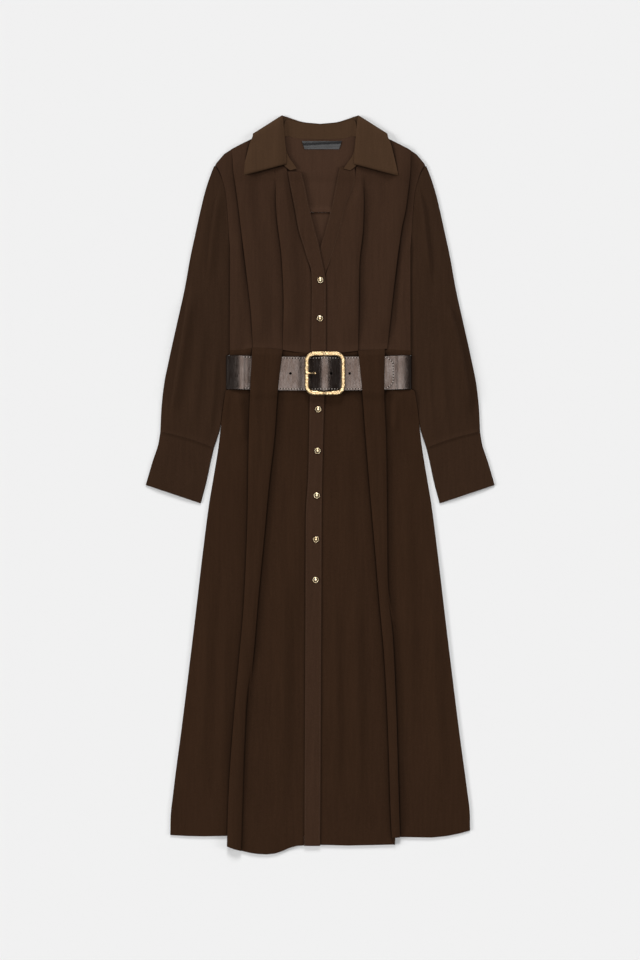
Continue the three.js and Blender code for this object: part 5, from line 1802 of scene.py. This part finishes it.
@dataclass
class StitchRow:
    """A row of stitches along a line on the cloth or on the belt."""

    name: str
    line: tuple[tuple[float, float], ...]
    height: Height
    pitch: float = 2.8
    length: float = 2.0
    radius: float = 0.28
    slot: str = "crepe"
    finish: Finish = DRESS_THREAD
    start: float = 0.0

    def one(self, x: float, y: float, dx: float, dy: float) -> tuple[Array, Array]:
        """Makes one stitch: a short thread that dips into the cloth at both ends.

        Args:
            x: The stitch's middle.
            y: The same along the dress.
            dx: Its direction.
            dy: The same along the dress.

        Returns:
            Points and faces.
        """
        t = np.linspace(-0.5, 0.5, 5)
        px, py = x + dx * t * self.length, y + dy * t * self.length
        swell = 1 - (2 * t) ** 4 * 0.6
        pz = self.height(px, py) - self.radius * (2 * t) ** 4 * 1.2
        angle = angles(6)
        side = self.radius * swell[:, None] * np.cos(angle)[None, :]
        up = self.radius * swell[:, None] * np.sin(angle)[None, :]
        points = np.stack([px[:, None] - dy * side, py[:, None] + dx * side, pz[:, None] + up], 2)
        return tube_mesh(points)

    def build(self) -> bpy.types.Object:
        """Builds the row and dresses it.

        Returns:
            The row as one piece.
        """
        line = np.array(self.line, float)
        far = np.concatenate([[0], np.cumsum(np.hypot(*np.diff(line, axis=0).T))])
        places = np.arange(self.pitch / 2 + self.start, far[-1], self.pitch)
        x, y = np.interp(places, far, line[:, 0]), np.interp(places, far, line[:, 1])
        x2, y2 = np.interp(places + 0.5, far, line[:, 0]), np.interp(places + 0.5, far, line[:, 1])
        x1, y1 = np.interp(places - 0.5, far, line[:, 0]), np.interp(places - 0.5, far, line[:, 1])
        run = np.hypot(x2 - x1, y2 - y1)
        parts = [self.one(*v) for v in zip(x, y, (x2 - x1) / run, (y2 - y1) / run)]
        return hand_over(joined(self.name, parts), [], self.finish.material())


@dataclass
class Stitching:
    """All the visible stitches of the dress and of its belt."""

    belt: Belt
    inset: float = 2.2
    last: float = -144.0

    def band_rows(self) -> list[StitchRow]:
        """The rows down both edges of the front bands."""
        rows = []
        pieces = (("top", BAND_TOP, BAND_LAYER, BAND_TOP[-1, 0] + 2, 220), ("under", BAND_UNDER, 0.0, 392, 60))
        for name, table, lift, end, count in pieces:
            left, right = band_edges(table)

            def height(x: Array, y: Array, lift: float = lift) -> Array:
                """Top of the band."""
                return front_with_creases(x, y) + lift + CLOTH / 2 + 0.12

            ys = np.linspace(table[0, 0] - 3, end, count)
            for side, edge, sign in (("left", left, 1), ("right", right, -1)):
                line = zip((edge.at(ys) + sign * self.inset).tolist(), ys.tolist())
                rows.append(StitchRow(f"band_{name}_stitches_{side}", tuple(line), height))
        return rows

    def belt_rows(self) -> list[StitchRow]:
        """The rows of stitches along the belt's edges and round its tip, and the painted shade of their needle
        holes.
        """
        def height(x: Array, y: Array) -> Array:
            """Top of the strap."""
            return self.belt.tip_height(x) + LEATHER / 2 + 0.1

        path = self.belt.path()[:self.belt.stitched_rows]
        front = path[(path[:, 0] > self.last) & (path[:, 0] < self.belt.tip - 3.2)]
        upper = [(x, float(belt_y(x)) + half - self.inset) for x, _, half in front]
        lower = [(x, float(belt_y(x)) - half + self.inset) for x, _, half in front]
        tip = [(self.belt.tip - 3.0, float(belt_y(130.0)) + v) for v in np.linspace(6, -6, 5)]
        line = tuple(upper[::-1] + tip + lower)
        pitch = 5.0
        return [
            StitchRow("belt_stitches", line, height, pitch, length=2.7, radius=0.55, slot="leather",
                      finish=BELT_THREAD),
            # Painted shade: near-black marks between the stitches stand in for the shade inside the needle
            # holes
            StitchRow("belt_hole_shade_marks", line, height, pitch, length=2.4, radius=1.0, slot="leather",
                      finish=HOLE_SHADE, start=pitch / 2),
        ]

    def build(self) -> None:
        """Builds every row."""
        for row in self.band_rows() + self.belt_rows():
            row.build()


@dataclass
class Studio:
    """The pale floor, the soft light and the camera."""

    distance: float = 4.0
    sensor: float = 36.0
    frame_height: float = 1.728
    frame_level: float = 0.006
    ground: tuple[float, float, float, float] = (0.86, 0.86, 0.86, 1.0)
    ground_half: float = 3000.0
    ground_z: float = -0.4
    sky: float = 0.14

    def build(self) -> None:
        """Makes the floor, the lights and the camera."""
        half, z = self.ground_half, self.ground_z
        corners = np.array([(-half, -half, z), (half, -half, z), (half, half, z), (-half, half, z)])
        floor = make_object("floor", corners, np.array([[0, 1, 2, 3]]))
        pale = bpy.data.materials.new("floor_pale")
        pale.use_nodes = True
        tree = Tree(pale.node_tree)
        shader = tree.add(
            "ShaderNodeBsdfPrincipled", Base_Color=self.ground, Roughness=0.9, Specular_IOR_Level=0.0)
        tree.add("ShaderNodeOutputMaterial", Surface=shader.outputs[0])
        floor.data.materials.append(pale)
        world = bpy.data.worlds.new("studio")
        world.use_nodes = True
        around = Tree(world.node_tree)
        light = around.add("ShaderNodeBackground", Color=(1.0, 1.0, 1.0, 1.0), Strength=self.sky)
        around.add("ShaderNodeOutputWorld", Surface=light.outputs[0])
        bpy.context.scene.world = world
        self.sun("overhead", (-3, 0, 0), strength=0.66, spread=26, shine=True)
        self.sun("key", (-58, 0, 0), strength=1.75, spread=20, shine=True)
        self.sun("side_left", (0, -64, 0), strength=1.85, spread=20)
        self.sun("side_right", (0, 64, 0), strength=0.85, spread=20)
        camera = bpy.data.cameras.new("camera")
        camera.lens = self.sensor * (self.distance - self.frame_level) / self.frame_height
        eye = bpy.data.objects.new("camera", camera)
        eye.location = (-0.00036, 0.00828, self.distance)
        bpy.context.scene.collection.objects.link(eye)
        bpy.context.scene.camera = eye
        bpy.context.scene.view_settings.view_transform = "Standard"

    def sun(self, name: str, tilt: tuple[float, float, float], strength: float, spread: float,
            shine: bool = False) -> None:
        """Adds a soft light from far away.

        Args:
            name: The light's name.
            tilt: Its rotation in degrees.
            strength: Its strength.
            spread: How wide it looks, in degrees.
            shine: Whether it is seen in shiny finishes.
        """
        light = bpy.data.lights.new(name, "SUN")
        light.energy, light.angle = strength, math.radians(spread)
        lamp = bpy.data.objects.new(name, light)
        lamp.rotation_euler = [math.radians(v) for v in tilt]
        lamp.visible_glossy = shine
        bpy.context.scene.collection.objects.link(lamp)


def main() -> None:
    """Builds the studio and the dress, piece by piece."""
    logging.basicConfig(level=logging.INFO, format="%(name)s: %(message)s")
    Studio().build()
    belt = Belt()
    Back().build()
    for front in bodices():
        front.build()
    for skirt in skirts():
        skirt.build(belt)
    FrontBands().build()
    for sleeve in sleeves():
        sleeve.build()
    Collar().build()
    belt.build()
    Snaps().build()
    Stitching(belt).build()


if __name__ == "__main__":
    main()
